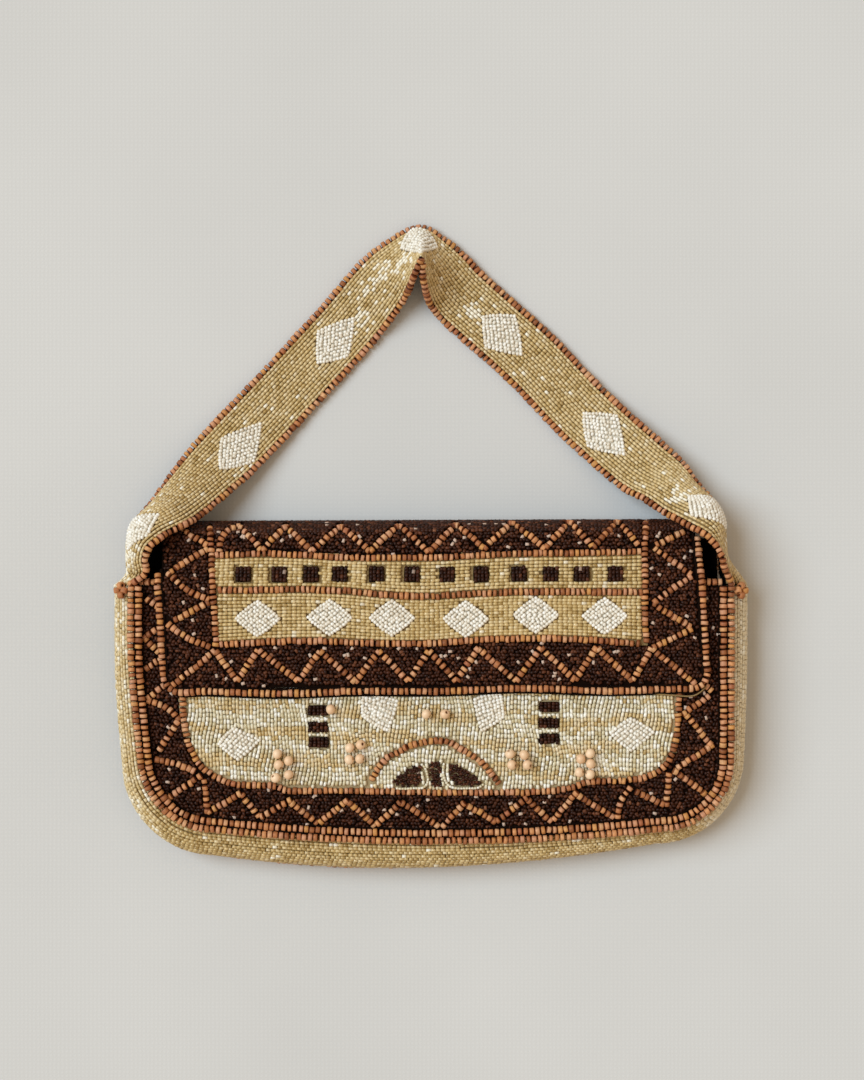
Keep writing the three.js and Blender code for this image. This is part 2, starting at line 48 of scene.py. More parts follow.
# Sizes of the solids, in millimetres. Plan heights are measured from the lowest point of the front seam.
WALL = 2.4
GAP = 0.3
FLAP_GAP = 0.7
PANEL_WIDTH = 248.4
FRONT_HEIGHT = 106
MOUTH_STEP = 20
CORNER_RADIUS = 27
CROWN = 3
RIPPLE = 0.5
RIPPLE_LENGTH = 83
OUTLINES = {
    "front": {"left": (0.2, 0.19), "right": (0.0, 0.2), "sag": 0.19},
    "back": {"left": (0.15, -0.28), "right": (0.13, 0.06), "sag": 0.37},
}
DRAW_HEIGHT = 80
SIDE_DEPTH = 19
BOTTOM_DEPTH = 15
SIDE_BULGE = 9.7
BOTTOM_BULGE = 7
BACK_SEAM_HEIGHT = 3.6
FLAP_MARGIN = 12.2
FLAP_WIDTH = PANEL_WIDTH - 2 * FLAP_MARGIN
FLAP_EDGE_HEIGHT = 64
FLAP_CORNER_RADIUS = 5
FLAP_SHIFT = 2.1
FLAP_LEAN = 0.06
FLAP_TILT = 0.008
BARE_FROM = 114
FOLD_REACH = 7.5
FOLD_DROP = 6
STRAP_WIDTH = 23.4
STRAP_REACH = 152
ROOT_REACH = 0.06
EDGE_BEAD_RADIUS = 1.5
ROUND_BEAD_RADIUS = 2.1
KNOT_BEAD_RADIUS = 1.6
KNOT_BEAD_LENGTH = 2.4
KNOT_REACH = 2
KNOT_BEADS = 4
KNOT_PLACE = 0.15
HALF_PANEL = PANEL_WIDTH / 2
BACK_TOP = FRONT_HEIGHT + MOUTH_STEP
PLAN_SHIFT = BACK_TOP - 1000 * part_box("back_panel")[1].y

# Beads: the strings' spacing, the beads' length along them, and the layers' depth under the solids' faces
STRING_PITCH = 1.47
GLASS_LENGTH = 2.05
GLASS_RADIUS = 0.74
SEED_PITCH = 1.62
SEED_RADIUS = 0.78
WHITE_PITCH = 1.5
WHITE_RADIUS = 0.88
WOOD_PITCH = 2.42
ROW_PITCH = 2.18
WOOD_LENGTH = 2.06
LEAF_PITCH = 1.15
STROKE_RISE = 0.7
ROW_RISE = 1.0
STROKE_REACH = 1.3
ZIGZAG_REACH = 1.0
GROUND_DEPTH = 1.25
PATCH_BOW = 0.07
PATCH_DEPTH = 0.75
PATCH_MARGIN = 0.5
PATCH_CLEAR = 0.9
HEM_WAVE = 0.8
HEM_WAVES = ((15, -0.6), (41, 0.4))
WHITE_LENGTH = WHITE_PITCH * 0.9
SEED_CLEAR = EDGE_BEAD_RADIUS + 0.1
FIELD_CLEAR = EDGE_BEAD_RADIUS + 0.35
SEED_JITTER = 0.24
STROKE_JITTER = 0.12
ROW_JITTER = 0.1
BLOCK_JITTER = 0.12
DARK_TURN = 0.9
DARK_SPREAD = (1.6, 3.0)
ROW_WOBBLE = (0.08, 0.12)
STROKE_WOBBLE = (0.1, 0.12)
SHADE_CORD_RADIUS = 0.85
LIP_RADIUS = 0.32
CLOTH_ROUGHNESS = 0.95

# The photograph's frame: a pixel's worth at the seam's height, and the point that the camera looks down on
PIXEL = 0.42
FRAME_WIDTH = 864
FRAME_HEIGHT = 1080
EYE_X = 0.42
EYE_Y = 125.16
EYE_HEIGHT = 1000
REFERENCE_HEIGHT = 22


def smooth(t):
    t = np.clip(t, 0, 1)
    return t * t * (3 - 2 * t)


def lerp(a, b, t):
    return a + (b - a) * t


def unit(v):
    return v / np.maximum(np.linalg.norm(v, axis=-1, keepdims=True), 1e-9)


def to_frame(points):
    return (np.asarray(points, float) - (0, PLAN_SHIFT, 0)) / 1000


def from_photo(points, height):
    """Plan places of points given in the photograph's pixels, on a surface given by its height."""
    points = np.asarray(points, float)
    z = np.full(len(points), float(REFERENCE_HEIGHT))
    for _ in range(4):
        scale = PIXEL * (EYE_HEIGHT - z) / (EYE_HEIGHT - REFERENCE_HEIGHT)
        x = EYE_X + (points[:, 0] - FRAME_WIDTH / 2) * scale
        y = EYE_Y + (FRAME_HEIGHT / 2 - points[:, 1]) * scale
        z = height(x, y)
    return np.stack([x, y], 1)


# Shape of the body, as in the solids


def half_at(which, side, y):
    draw, foot = OUTLINES[which][side]
    y = np.asarray(y, float)
    into = np.clip((foot + 1) * CORNER_RADIUS - y, 0, CORNER_RADIUS)
    drawn = draw * CORNER_RADIUS * (1 - smooth((y - foot * CORNER_RADIUS) / DRAW_HEIGHT))
    return HALF_PANEL - CORNER_RADIUS + np.sqrt(CORNER_RADIUS**2 - into**2) - drawn


def side_outline(which, side, top, inset, steps=22, corner_steps=18):
    """Points (x, y, turn) down one side of a panel and round its corner."""
    foot = OUTLINES[which][side][1] * CORNER_RADIUS
    heights = list(np.linspace(top, FRONT_HEIGHT, 5)[:-1]) if top > FRONT_HEIGHT else []
    heights += list(np.linspace(FRONT_HEIGHT, foot + CORNER_RADIUS, steps + 1)[:-1])
    turns = [0.0] * len(heights) + list(np.linspace(0, math.pi / 2, corner_steps + 1))
    heights += [foot + CORNER_RADIUS * (1 - math.sin(t)) for t in turns[len(heights):]]
    y, turn = np.array(heights), np.array(turns)
    half = half_at(which, side, y) - inset * np.cos(turn)
    return np.stack([half if side == "right" else -half, y + inset * np.sin(turn), turn], 1)


def between(which, left, right, u):
    sag = OUTLINES[which]["sag"] * CORNER_RADIUS * (1 - u * u) * np.sin(left[..., 2])
    share = (1 + u) / 2
    return lerp(left[..., 0], right[..., 0], share), lerp(left[..., 1], right[..., 1], share) - sag


def panel_grid(which, top, inset, columns=61):
    left = side_outline(which, "left", top, inset)[:, None]
    right = side_outline(which, "right", top, inset)[:, None]
    return between(which, left, right, np.linspace(-1, 1, columns)[None])


def seam_height(y):
    return BACK_SEAM_HEIGHT + lerp(BOTTOM_DEPTH, SIDE_DEPTH, smooth(2 * y / FRONT_HEIGHT))


def front_height(x, y):
    x, y = np.asarray(x, float), np.asarray(y, float)
    low = np.minimum(y, FRONT_HEIGHT)
    half = np.where(x < 0, half_at("front", "left", low), half_at("front", "right", low))
    u = np.minimum(1, np.abs(x) / half)
    ripple = RIPPLE * (1 - u * u) * np.sin(2 * math.pi * (x + y / 2) / RIPPLE_LENGTH)
    return seam_height(y) + (CROWN * (1 - u**3) + ripple) * smooth(y / CORNER_RADIUS)


def seam_stations():
    """Front and back seam points round the bag from its left top, with outward directions and lowness."""
    sides = []
    for side, sign in (("left", -1), ("right", 1)):
        front = side_outline("front", side, FRONT_HEIGHT, 0)
        back = side_outline("back", side, FRONT_HEIGHT, 0)
        turn = front[:, 2]
        out = np.stack([sign * np.cos(turn), -np.sin(turn)], 1)
        sides.append((front, back, out, np.sin(turn)))
    u = np.linspace(-1, 1, 81)[1:-1]
    front_foot = np.stack(between("front", sides[0][0][-1], sides[1][0][-1], u), 1)
    back_foot = np.stack(between("back", sides[0][1][-1], sides[1][1][-1], u), 1)
    out = np.tile([0.0, -1.0], (len(u), 1))
    return {
        "front": np.concatenate([sides[0][0][:, :2], front_foot, sides[1][0][::-1, :2]]),
        "back": np.concatenate([sides[0][1][:, :2], back_foot, sides[1][1][::-1, :2]]),
        "out": np.concatenate([sides[0][2], out, sides[1][2][::-1]]),
        "low": np.concatenate([sides[0][3], np.ones(len(u)), sides[1][3][::-1]]),
    }


stations = seam_stations()


def seam_points(which, outwards, up):
    xy = stations[which] + stations["out"] * outwards
    z = seam_height(stations[which][:, 1]) if which == "front" else np.full(len(xy), float(BACK_SEAM_HEIGHT))
    return np.column_stack([xy, z + up])


def gusset_grid(steps=14):
    """Sections of the gusset from the front seam to the back seam, one row for each station."""
    start, end = seam_points("front", GAP, 0), seam_points("back", GAP, 0)
    out = np.column_stack([stations["out"], np.zeros(len(start))])
    chord = end - start
    normal = -out * chord[:, 2:3]
    normal[:, 2] += (out * chord).sum(1)
    normal = unit(normal)
    bulge = lerp(SIDE_BULGE, BOTTOM_BULGE, stations["low"])[:, None]
    control = (start + end) / 2 + normal * 2 * bulge
    t = np.linspace(0, 1, steps + 1)[None, :, None]
    return (1 - t) ** 2 * start[:, None] + 2 * t * (1 - t) * control[:, None] + t**2 * end[:, None]


def flap_height(x, y):
    drop = FOLD_DROP * smooth((y - FRONT_HEIGHT) / MOUTH_STEP)
    return front_height(x, np.minimum(y, FRONT_HEIGHT)) + FLAP_GAP + WALL - drop


def flap_half(y):
    into = np.clip(FLAP_EDGE_HEIGHT + FLAP_CORNER_RADIUS - y, 0, FLAP_CORNER_RADIUS)
    return FLAP_WIDTH / 2 - FLAP_CORNER_RADIUS + np.sqrt(FLAP_CORNER_RADIUS**2 - into**2)


def flap_place(x, y, share):
    z = share * flap_height(x, np.clip(y, FLAP_EDGE_HEIGHT, BACK_TOP))
    shift = FLAP_SHIFT - FLAP_LEAN * (y - FLAP_EDGE_HEIGHT)
    return np.stack(np.broadcast_arrays(x + shift, y + FLAP_TILT * x * share, z), -1)


def flap_profile(fold_steps=18, steps=20, corner_steps=6):
    turn = np.linspace(-math.pi / 2, math.pi / 2, fold_steps + 1)[:-1]
    y = list(BACK_TOP + GAP + FOLD_REACH * np.cos(turn))
    share = list((1 + np.sin(turn)) / 2)
    y += list(np.linspace(BACK_TOP, FLAP_EDGE_HEIGHT + FLAP_CORNER_RADIUS, steps + 1)[:-1])
    turn = np.linspace(0, math.pi / 2, corner_steps + 1)
    y += list(FLAP_EDGE_HEIGHT + FLAP_CORNER_RADIUS * (1 - np.sin(turn)))
    return np.array(y), np.array(share + [1.0] * (len(y) - len(share)))


def flap_grid(columns=81):
    y, share = flap_profile()
    u = np.linspace(-1, 1, columns)[None]
    return flap_place(u * flap_half(y)[:, None], y[:, None], share[:, None])


def flap_top(x, y):
    """Height of the flap's upper face at a plan place."""
    own_x = x - FLAP_SHIFT + FLAP_LEAN * (y - FLAP_EDGE_HEIGHT)
    own_y = y - FLAP_TILT * own_x
    over = np.clip((own_y - BACK_TOP) / FOLD_REACH, 0, 1)
    share = (1 + np.sqrt(1 - over**2)) / 2
    return share * flap_height(own_x, np.clip(own_y, FLAP_EDGE_HEIGHT, BACK_TOP))


# The strap, as in the solids: a row for each section
ROOT_RISE = (BACK_SEAM_HEIGHT - WALL - GAP) / SIDE_DEPTH
STRAP_COLUMNS = ("x", "y", "rise", "across", "lift", "bow")
STRAP_SECTIONS = np.array([
    (-1, 0, ROOT_RISE, 0, 90, 1),
    (-0.993, 0.029, 0.1, -2, 72, 0.6),
    (-0.9935, 0.072, 0.25, -6, 75, 0.55),
    (-0.984, 0.1185, 0.42, -12, 65, 0.6),
    (-0.952, 0.162, 0.57, -20, 42, 0.75),
    (-0.8915, 0.202, 0.6, -29, 30, 0.65),
    (-0.843, 0.243, 0.45, -37, 20, 0.5),
    (-0.757, 0.318, 0.3, -40, 8, 0.2),
    (-0.675, 0.387, 0.18, -42, 2, 0),
    (-0.51, 0.532, 0.03, -42, 0, 0),
    (-0.293, 0.725, 0, -40, 0, 0),
    (-0.181, 0.838, 0.02, -43, 14, 0),
    (-0.11, 0.907, 0.05, -58, 38, 0),
    (-0.034, 0.957, 0.06, -87, 52, 0),
    (0.022, 0.9, 0.05, -117, 32, 0),
    (0.088, 0.825, 0.02, -131, 3, 0),
    (0.17, 0.762, 0, -133, 0, 0),
    (0.351, 0.629, 0, -135, 0, 0),
    (0.519, 0.485, 0.05, -134, 0, 0),
    (0.703, 0.347, 0.26, -134, 6, 0),
    (0.793, 0.292, 0.4, -138, 18, 0.25),
    (0.848, 0.247, 0.5, -141, 28, 0.5),
    (0.9126, 0.204, 0.58, -145, 40, 0.7),
    (0.9537, 0.16, 0.4, -152, 67, 0.6),
    (0.981, 0.116, 0.23, -160, 80, 0.3),
    (0.9955, 0.066, 0.2, -168, 86, 0.25),
    (1, 0, ROOT_RISE, -180, 90, 1),
])


def strap_value(column, t):
    values = STRAP_SECTIONS[:, STRAP_COLUMNS.index(column)]
    last = len(values) - 1
    i = np.minimum(np.floor(t * last).astype(int), last - 1)
    a, b, c, d = (values[np.clip(i + k, 0, last)] for k in (-1, 0, 1, 2))
    f = t * last - i
    start, end = (c - a) / 2, (d - b) / 2
    return (2 * b - 2 * c + start + end) * f**3 + (3 * c - 3 * b - 2 * start - end) * f**2 + start * f + b


def strap_frame(t):
    bow = np.maximum(0, strap_value("bow", t))
    across = np.radians(strap_value("across", t))
    lift = np.radians(np.maximum(0, strap_value("lift", t)))
    half = lerp(STRAP_WIDTH, SIDE_DEPTH, bow) / 2
    inwards = np.stack([np.cos(across), np.sin(across), np.zeros_like(t)], -1)
    up = np.array([0.0, 0.0, 1.0])
    direction = inwards * np.cos(lift)[..., None] + up * np.sin(lift)[..., None]
    normal = -inwards * np.sin(lift)[..., None] + up * np.cos(lift)[..., None]
    x = strap_value("x", t) * (HALF_PANEL + GAP)
    y = FRONT_HEIGHT + GAP + strap_value("y", t) * STRAP_REACH
    z = WALL + GAP + np.maximum(0, strap_value("rise", t)) * SIDE_DEPTH + half * np.sin(lift)
    return np.stack([x, y, z], -1), direction, normal, half, bow * SIDE_BULGE


def strap_point(t, v):
    middle, direction, normal, half, bow = strap_frame(t)
    return middle + direction * (v * half)[..., None] + normal * (bow * (1 - v * v))[..., None]


# Strings of beads


def grid_normals(grid, towards):
    """Unit normals of a grid of points, on the side of one direction at its middle."""
    along = np.gradient(grid, axis=0)
    across = np.gradient(grid, axis=1)
    normals = unit(np.cross(across, along))
    middle = normals[grid.shape[0] // 2, grid.shape[1] // 2]
    return normals if middle @ np.asarray(towards, float) > 0 else -normals


def resample(points, pitch, start=0.5):
    """Middles and directions of beads set at a pitch along a line of points."""
    points = np.asarray(points, float)
    steps = np.linalg.norm(np.diff(points, axis=0), axis=1)
    length = np.concatenate([[0], np.cumsum(steps)])
    count = max(1, int(length[-1] / pitch + 0.35))
    at = (np.arange(count) + start) * length[-1] / count
    middles = np.stack([np.interp(at, length, points[:, k]) for k in range(points.shape[1])], 1)
    ahead = np.stack([np.interp(at + pitch / 3, length, points[:, k]) for k in range(points.shape[1])], 1)
    behind = np.stack([np.interp(at - pitch / 3, length, points[:, k]) for k in range(points.shape[1])], 1)
    return middles, unit(ahead - behind)


def rings(profile, sides):
    """Rings of points about the x axis from (along, radius) pairs."""
    angle = np.arange(sides) * 2 * math.pi / sides
    return np.concatenate([
        np.stack([np.full(sides, along), radius * np.cos(angle), radius * np.sin(angle)], 1)
        for along, radius in profile
    ])


def ring_faces(first, second, sides):
    """The faces between two rings."""
    j = np.arange(sides)
    k = (j + 1) % sides
    first, second = first * sides, second * sides
    return np.stack([first + j, second + j, second + k, first + k], 1).tolist()


def lathe(profile, sides):
    """A closed bead turned about the x axis, and which of its faces are its ends."""
    last = len(profile) - 1
    faces = [face for i in range(last) for face in ring_faces(i, i + 1, sides)]
    faces += [list(range(sides)), [last * sides + j for j in reversed(range(sides))]]
    bevelled = [last > 2 and i in (0, last - 1) for i in range(last)]
    return rings(profile, sides), faces, np.array(list(np.repeat(bevelled, sides)) + [True, True], float)


def holed(profile, sides):
    """A closed bead with a hole, from a loop of (along, radius) pairs, and which faces are the hole's."""
    count = len(profile)
    faces = [face for i in range(count) for face in ring_faces(i, (i + 1) % count, sides)]
    radii = np.array([radius for _, radius in profile])
    bored = np.maximum(radii, np.roll(radii, -1)) <= radii.min() + 0.01
    return rings(profile, sides), faces, np.repeat(bored, sides).astype(float)


GLASS = lathe([(-0.5, 0.86), (0, 1), (0.5, 0.86)], 6)
PLAIN = lathe([(-0.5, 0.92), (0.5, 0.92)], 6)
BACKING = lathe([(-0.5, 0.95), (0.5, 0.95)], 5)
SEED = lathe([(-0.5, 0.66), (-0.24, 1), (0.24, 1), (0.5, 0.66)], 8)
WOOD = lathe([(-0.5, 0.7), (-0.36, 0.98), (0.36, 0.98), (0.5, 0.7)], 10)
HOLE = 0.3
ROUND = holed(
    [(0.92 * math.sin(a), max(HOLE, math.cos(a))) for a in np.linspace(-1.27, 1.27, 12)]
    + [(0.5, HOLE), (-0.5, HOLE)], 16)
RING = holed([(-0.5, 0.4), (-0.5, 0.8), (-0.34, 1), (0.34, 1), (0.5, 0.8), (0.5, 0.4)], 14)


def mesh_object(name, vertices, faces, face_values=None, smooth_faces=True):
    """A piece made from arrays: vertices in plan millimetres, and faces as lists of vertex numbers."""
    mesh = bpy.data.meshes.new(name)
    sizes = np.array([len(f) for f in faces])
    corners = np.concatenate([np.asarray(f) for f in faces])
    return fill_mesh(mesh, name, vertices, sizes, corners, face_values, smooth_faces)


def fill_mesh(mesh, name, vertices, sizes, corners, face_values, smooth_faces):
    mesh.vertices.add(len(vertices))
    mesh.vertices.foreach_set("co", to_frame(vertices).astype(np.float32).ravel())
    mesh.loops.add(len(corners))
    mesh.loops.foreach_set("vertex_index", corners.astype(np.int32))
    mesh.polygons.add(len(sizes))
    mesh.polygons.foreach_set("loop_start", np.concatenate([[0], np.cumsum(sizes)[:-1]]).astype(np.int32))
    mesh.polygons.foreach_set("use_smooth", np.full(len(sizes), smooth_faces))
    for key, values in (face_values or {}).items():
        mesh.attributes.new(key, "FLOAT", "FACE").data.foreach_set("value", np.asarray(values, np.float32))
    mesh.update(calc_edges=True)
    piece = bpy.data.objects.new(name, mesh)
    bpy.context.scene.collection.objects.link(piece)
    return piece


class Strings:
    """Beads gathered for one piece."""

    def __init__(self):
        self.parts = []

    def add(self, middles, axes, ups, length, radius, tone=None, glint=0.0):
        middles = np.asarray(middles, float).reshape(-1, 3)
        count = len(middles)
        if count == 0:
            return
        tone = rng.random(count) if tone is None else tone
        full = [np.broadcast_to(np.asarray(a, float), (count, 3)) for a in (axes, ups)]
        flat = [np.broadcast_to(np.asarray(a, float), (count,)) for a in (length, radius, tone, glint)]
        self.parts.append((middles, *full, *flat))

    def build(self, name, template, material, slot, wobble=0.06, size_wobble=0.05):
        middles, axes, ups, length, radius, tone, glint = (np.concatenate(a) for a in zip(*self.parts))
        count = len(middles)
        axes = unit(axes + wobble * rng.normal(size=(count, 3)))
        sides = unit(np.cross(ups, axes))
        ups = np.cross(axes, sides)
        spin = rng.random(count) * 2 * math.pi
        turned = sides * np.cos(spin)[:, None] + ups * np.sin(spin)[:, None]
        others = np.cross(axes, turned)
        length = length * (1 + size_wobble * rng.normal(size=count).clip(-2, 2))
        radius = radius * (1 + size_wobble * 0.6 * rng.normal(size=count).clip(-2, 1.5))
        shape, faces, ends = template
        vertices = (
            middles[:, None]
            + axes[:, None] * (shape[None, :, :1] * length[:, None, None])
            + turned[:, None] * (shape[None, :, 1:2] * radius[:, None, None])
            + others[:, None] * (shape[None, :, 2:] * radius[:, None, None])
        ).reshape(-1, 3)
        one_sizes = np.array([len(f) for f in faces])
        one_corners = np.concatenate([np.asarray(f) for f in faces])
        corners = (np.arange(count)[:, None] * len(shape) + one_corners[None]).ravel()
        values = {
            "tone": np.repeat(tone, len(faces)),
            "glint": np.repeat(glint, len(faces)),
            # faces that the materials darken as painted shade: bead ends, the bevels beside them and holes
            "end": np.tile(ends, count),
        }
        mesh = bpy.data.meshes.new(name)
        piece = fill_mesh(mesh, name, vertices, np.tile(one_sizes, count), corners, values, True)
        piece.data.materials.append(material)
        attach(piece, "root")
        return piece


# Materials


def new_material(name, roughness, **inputs):
    material = bpy.data.materials.new(name)
    material.use_nodes = True
    shader = material.node_tree.nodes["Principled BSDF"]
    shader.inputs["Roughness"].default_value = roughness
    for key, value in inputs.items():
        shader.inputs[key.replace("_", " ")].default_value = value
    return material, material.node_tree, shader


def node(tree, kind, **settings):
    made = tree.nodes.new(kind)
    for key, value in settings.items():
        if hasattr(made, key):
            setattr(made, key, value)
        else:
            made.inputs[key.replace("_", " ")].default_value = value
    return made


def ramp(tree, source, stops):
    made = node(tree, "ShaderNodeValToRGB")
    elements = made.color_ramp.elements
    while len(elements) < len(stops):
        elements.new(0.5)
    for element, (place, colour) in zip(elements, stops):
        element.position = place
        element.color = (*colour, 1)
    tree.links.new(source, made.inputs["Fac"])
    return made.outputs["Color"]


def mix(tree, factor, a, b, kind="MIX"):
    made = node(tree, "ShaderNodeMix", data_type="RGBA", blend_type=kind)
    for socket, value in ((made.inputs[0], factor), (made.inputs[6], a), (made.inputs[7], b)):
        if isinstance(value, bpy.types.NodeSocket):
            tree.links.new(value, socket)
        elif isinstance(value, tuple):
            socket.default_value = (*value, 1)
        else:
            socket.default_value = value
    return made.outputs[2]


def attribute(tree, name):
    return node(tree, "ShaderNodeAttribute", attribute_name=name).outputs["Fac"]


def place(tree, scale):
    coordinates = node(tree, "ShaderNodeTexCoord")
    mapping = node(tree, "ShaderNodeMapping")
    mapping.inputs["Scale"].default_value = scale
    tree.links.new(coordinates.outputs["Object"], mapping.inputs["Vector"])
    return mapping.outputs["Vector"]


def noise(tree, scale, detail=2.0, roughness=0.5, stretch=(1, 1, 1)):
    made = node(tree, "ShaderNodeTexNoise", Scale=scale, Detail=detail, Roughness=roughness)
    tree.links.new(place(tree, stretch), made.inputs["Vector"])
    return made.outputs["Fac"]


def bump(tree, shader, height, strength, distance):
    made = node(tree, "ShaderNodeBump", Strength=strength, Distance=distance)
    tree.links.new(height, made.inputs["Height"])
    tree.links.new(made.outputs["Normal"], shader.inputs["Normal"])


def srgb(*values):
    """A colour as shaders take it, from its screen values up to 255."""
    return tuple(((c / 255 + 0.055) / 1.055) ** 2.4 if c > 10 else c / 255 / 12.92 for c in values)


def bead_material(name, stops, glint, roughness, grain=0.25, ends=(0.7, 0.6, 0.5), **inputs):
    """Beads whose colour differs from bead to bead by their tone, with some that glint as painted highlights,
    and ends darkened as painted shade.
    """
    material, tree, shader = new_material(name, roughness, **inputs)
    base = ramp(tree, attribute(tree, "tone"), stops)
    clouds = ramp(tree, noise(tree, 900, 2), [(0.3, (1 - grain,) * 3), (0.7, (1.0,) * 3)])
    shaded = mix(tree, 1.0, base, clouds, "MULTIPLY")
    # Painted highlight: beads marked to glint take the near-white glint colour in place of their own
    lit = mix(tree, attribute(tree, "glint"), shaded, glint)
    # Painted shade: the ends, their bevels and the holes of the beads are darkened, where shade falls between
    # and inside beads
    ended = mix(tree, attribute(tree, "end"), lit, mix(tree, 1.0, lit, ends, "MULTIPLY"))
    tree.links.new(ended, shader.inputs["Base Color"])
    bump(tree, shader, noise(tree, 1600, 1), 0.15, 0.0002)
    return material


gold_glass = bead_material(
    "gold_glass",
    [(0.0, srgb(178, 145, 84)), (0.3, srgb(214, 184, 124)), (0.62, srgb(231, 206, 155)),
     (1.0, srgb(244, 228, 194))],
    srgb(250, 243, 224), 0.34, Coat_Weight=0.2, Coat_Roughness=0.12)
cream_glass = bead_material(
    "cream_glass",
    [(0.0, srgb(204, 186, 142)), (0.35, srgb(228, 216, 182)), (0.7, srgb(244, 236, 214)),
     (1.0, srgb(254, 251, 240))],
    srgb(255, 252, 242), 0.3, grain=0.15, ends=(0.8, 0.76, 0.68), Coat_Weight=0.25, Coat_Roughness=0.1)
dark_glass = bead_material(
    "dark_glass",
    [(0.0, srgb(34, 12, 4)), (0.45, srgb(68, 33, 17)), (0.8, srgb(114, 66, 42)), (1.0, srgb(166, 114, 84))],
    srgb(236, 208, 188), 0.45, Coat_Weight=0.0, Specular_IOR_Level=0.2)
white_glass = bead_material(
    "white_glass",
    [(0.0, srgb(232, 222, 204)), (0.5, srgb(245, 240, 228)), (1.0, srgb(253, 250, 243))],
    srgb(255, 255, 255), 0.36, grain=0.04, ends=(0.92, 0.9, 0.87), Coat_Weight=0.15, Coat_Roughness=0.15)
wood_stops = [
    (0.0, srgb(150, 90, 52)), (0.22, srgb(190, 122, 76)), (0.42, srgb(224, 158, 104)),
    (0.6, srgb(212, 152, 116)), (0.78, srgb(228, 174, 128)), (0.9, srgb(218, 156, 88)),
    (1.0, srgb(180, 110, 74)),
]
# Wooden beads' ends and holes are darkened strongly: painted shade in the gaps between beads and inside holes
wood = bead_material("wood_bead", wood_stops, srgb(240, 196, 140), 0.55, grain=0.3,
                     ends=(0.34, 0.2, 0.12), Specular_IOR_Level=0.3)
peach_wood = bead_material(
    "round_bead",
    [(0.0, srgb(236, 196, 156)), (1.0, srgb(250, 218, 182))], srgb(255, 240, 220), 0.42, grain=0.06)


def crossed_threads(tree, scale, distortion):
    """The height of two crossed sets of threads."""
    threads = node(tree, "ShaderNodeMath", operation="MULTIPLY")
    for socket, direction in zip(threads.inputs, ("X", "Y")):
        wave = node(tree, "ShaderNodeTexWave", bands_direction=direction, Scale=scale, Distortion=distortion)
        tree.links.new(place(tree, (1, 1, 1)), wave.inputs["Vector"])
        tree.links.new(wave.outputs["Fac"], socket)
    return threads.outputs[0]


def cloth_material(name, light, dark, scale=900.0, gloss=0.2):
    """Plain woven cloth with blotches of tone."""
    material, tree, shader = new_material(name, CLOTH_ROUGHNESS, Specular_IOR_Level=gloss)
    threads = crossed_threads(tree, scale, 0.6)
    woven = ramp(tree, threads, [(0.0, dark), (0.8, light)])
    clouds = ramp(tree, noise(tree, 60, 4), [(0.3, (0.75,) * 3), (0.7, (1.0,) * 3)])
    tree.links.new(mix(tree, 1.0, woven, clouds, "MULTIPLY"), shader.inputs["Base Color"])
    bump(tree, shader, threads, 0.4, 0.0003)
    return material


gold_ground = cloth_material("gold_ground", srgb(196, 168, 118), srgb(150, 122, 78))
pale_ground = cloth_material("pale_ground", srgb(222, 206, 170), srgb(176, 154, 110))
ivory_ground = cloth_material("ivory_ground", srgb(248, 243, 232), srgb(226, 218, 200))
dark_ground = cloth_material("dark_ground", srgb(34, 16, 8), srgb(16, 7, 3), gloss=0.08)
lining_black = cloth_material("lining_black", srgb(20, 16, 16), srgb(8, 7, 7), 1400, gloss=0.08)


def finish_piece(piece, materials, slot, *replaced):
    for material in materials:
        piece.data.materials.append(material)
    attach(piece, "root")
    if replaced:
        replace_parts(piece, *replaced)
    return piece


def cloth_sheet(name, outer, inner, materials, slot, *replaced):
    """A closed sheet between two matching grids: the outer face has its own material, the rest the second."""
    rows, columns = outer.shape[:2]
    at = np.arange(rows * columns).reshape(rows, columns)
    low = at + rows * columns
    a, b, c, d = at[:-1, :-1], at[:-1, 1:], at[1:, 1:], at[1:, :-1]
    faces = [np.stack([a, b, c, d], -1).reshape(-1, 4)]
    a, b, c, d = low[:-1, :-1], low[:-1, 1:], low[1:, 1:], low[1:, :-1]
    faces.append(np.stack([a, d, c, b], -1).reshape(-1, 4))
    for line in (at[0], at[-1][::-1], at[:, 0][::-1], at[:, -1]):
        under = line + rows * columns
        faces.append(np.stack([line[1:], line[:-1], under[:-1], under[1:]], -1))
    faces = np.concatenate(faces)
    vertices = np.concatenate([outer.reshape(-1, 3), inner.reshape(-1, 3)])
    p = vertices[faces[:, 0]], vertices[faces[:, 1]], vertices[faces[:, 2]], vertices[faces[:, 3]]
    volume = (np.cross(p[0], p[1]) * p[2]).sum() + (np.cross(p[0], p[2]) * p[3]).sum()
    if volume < 0:
        faces = faces[:, ::-1]
    mesh = bpy.data.meshes.new(name)
    piece = fill_mesh(mesh, name, vertices, np.full(len(faces), 4), faces.ravel(), None, True)
    number = np.ones(len(faces), np.int32)
    number[: (rows - 1) * (columns - 1)] = 0
    finish_piece(piece, materials, slot, *replaced)
    mesh.polygons.foreach_set("material_index", number)
    return piece


def paint(piece, outer, number, chosen):
    """Gives the outer faces whose plan places are chosen another of the piece's materials."""
    centres = ((outer[:-1, :-1] + outer[1:, 1:]) / 2).reshape(-1, 3)[:, :2]
    numbers = np.empty(len(piece.data.polygons), np.int32)
    piece.data.polygons.foreach_get("material_index", numbers)
    numbers[: len(centres)][chosen(centres)] = number
    piece.data.polygons.foreach_set("material_index", numbers)


def raised(x, y, height):
    return np.stack(np.broadcast_arrays(x, y, height), -1)


# Cloth of the walls

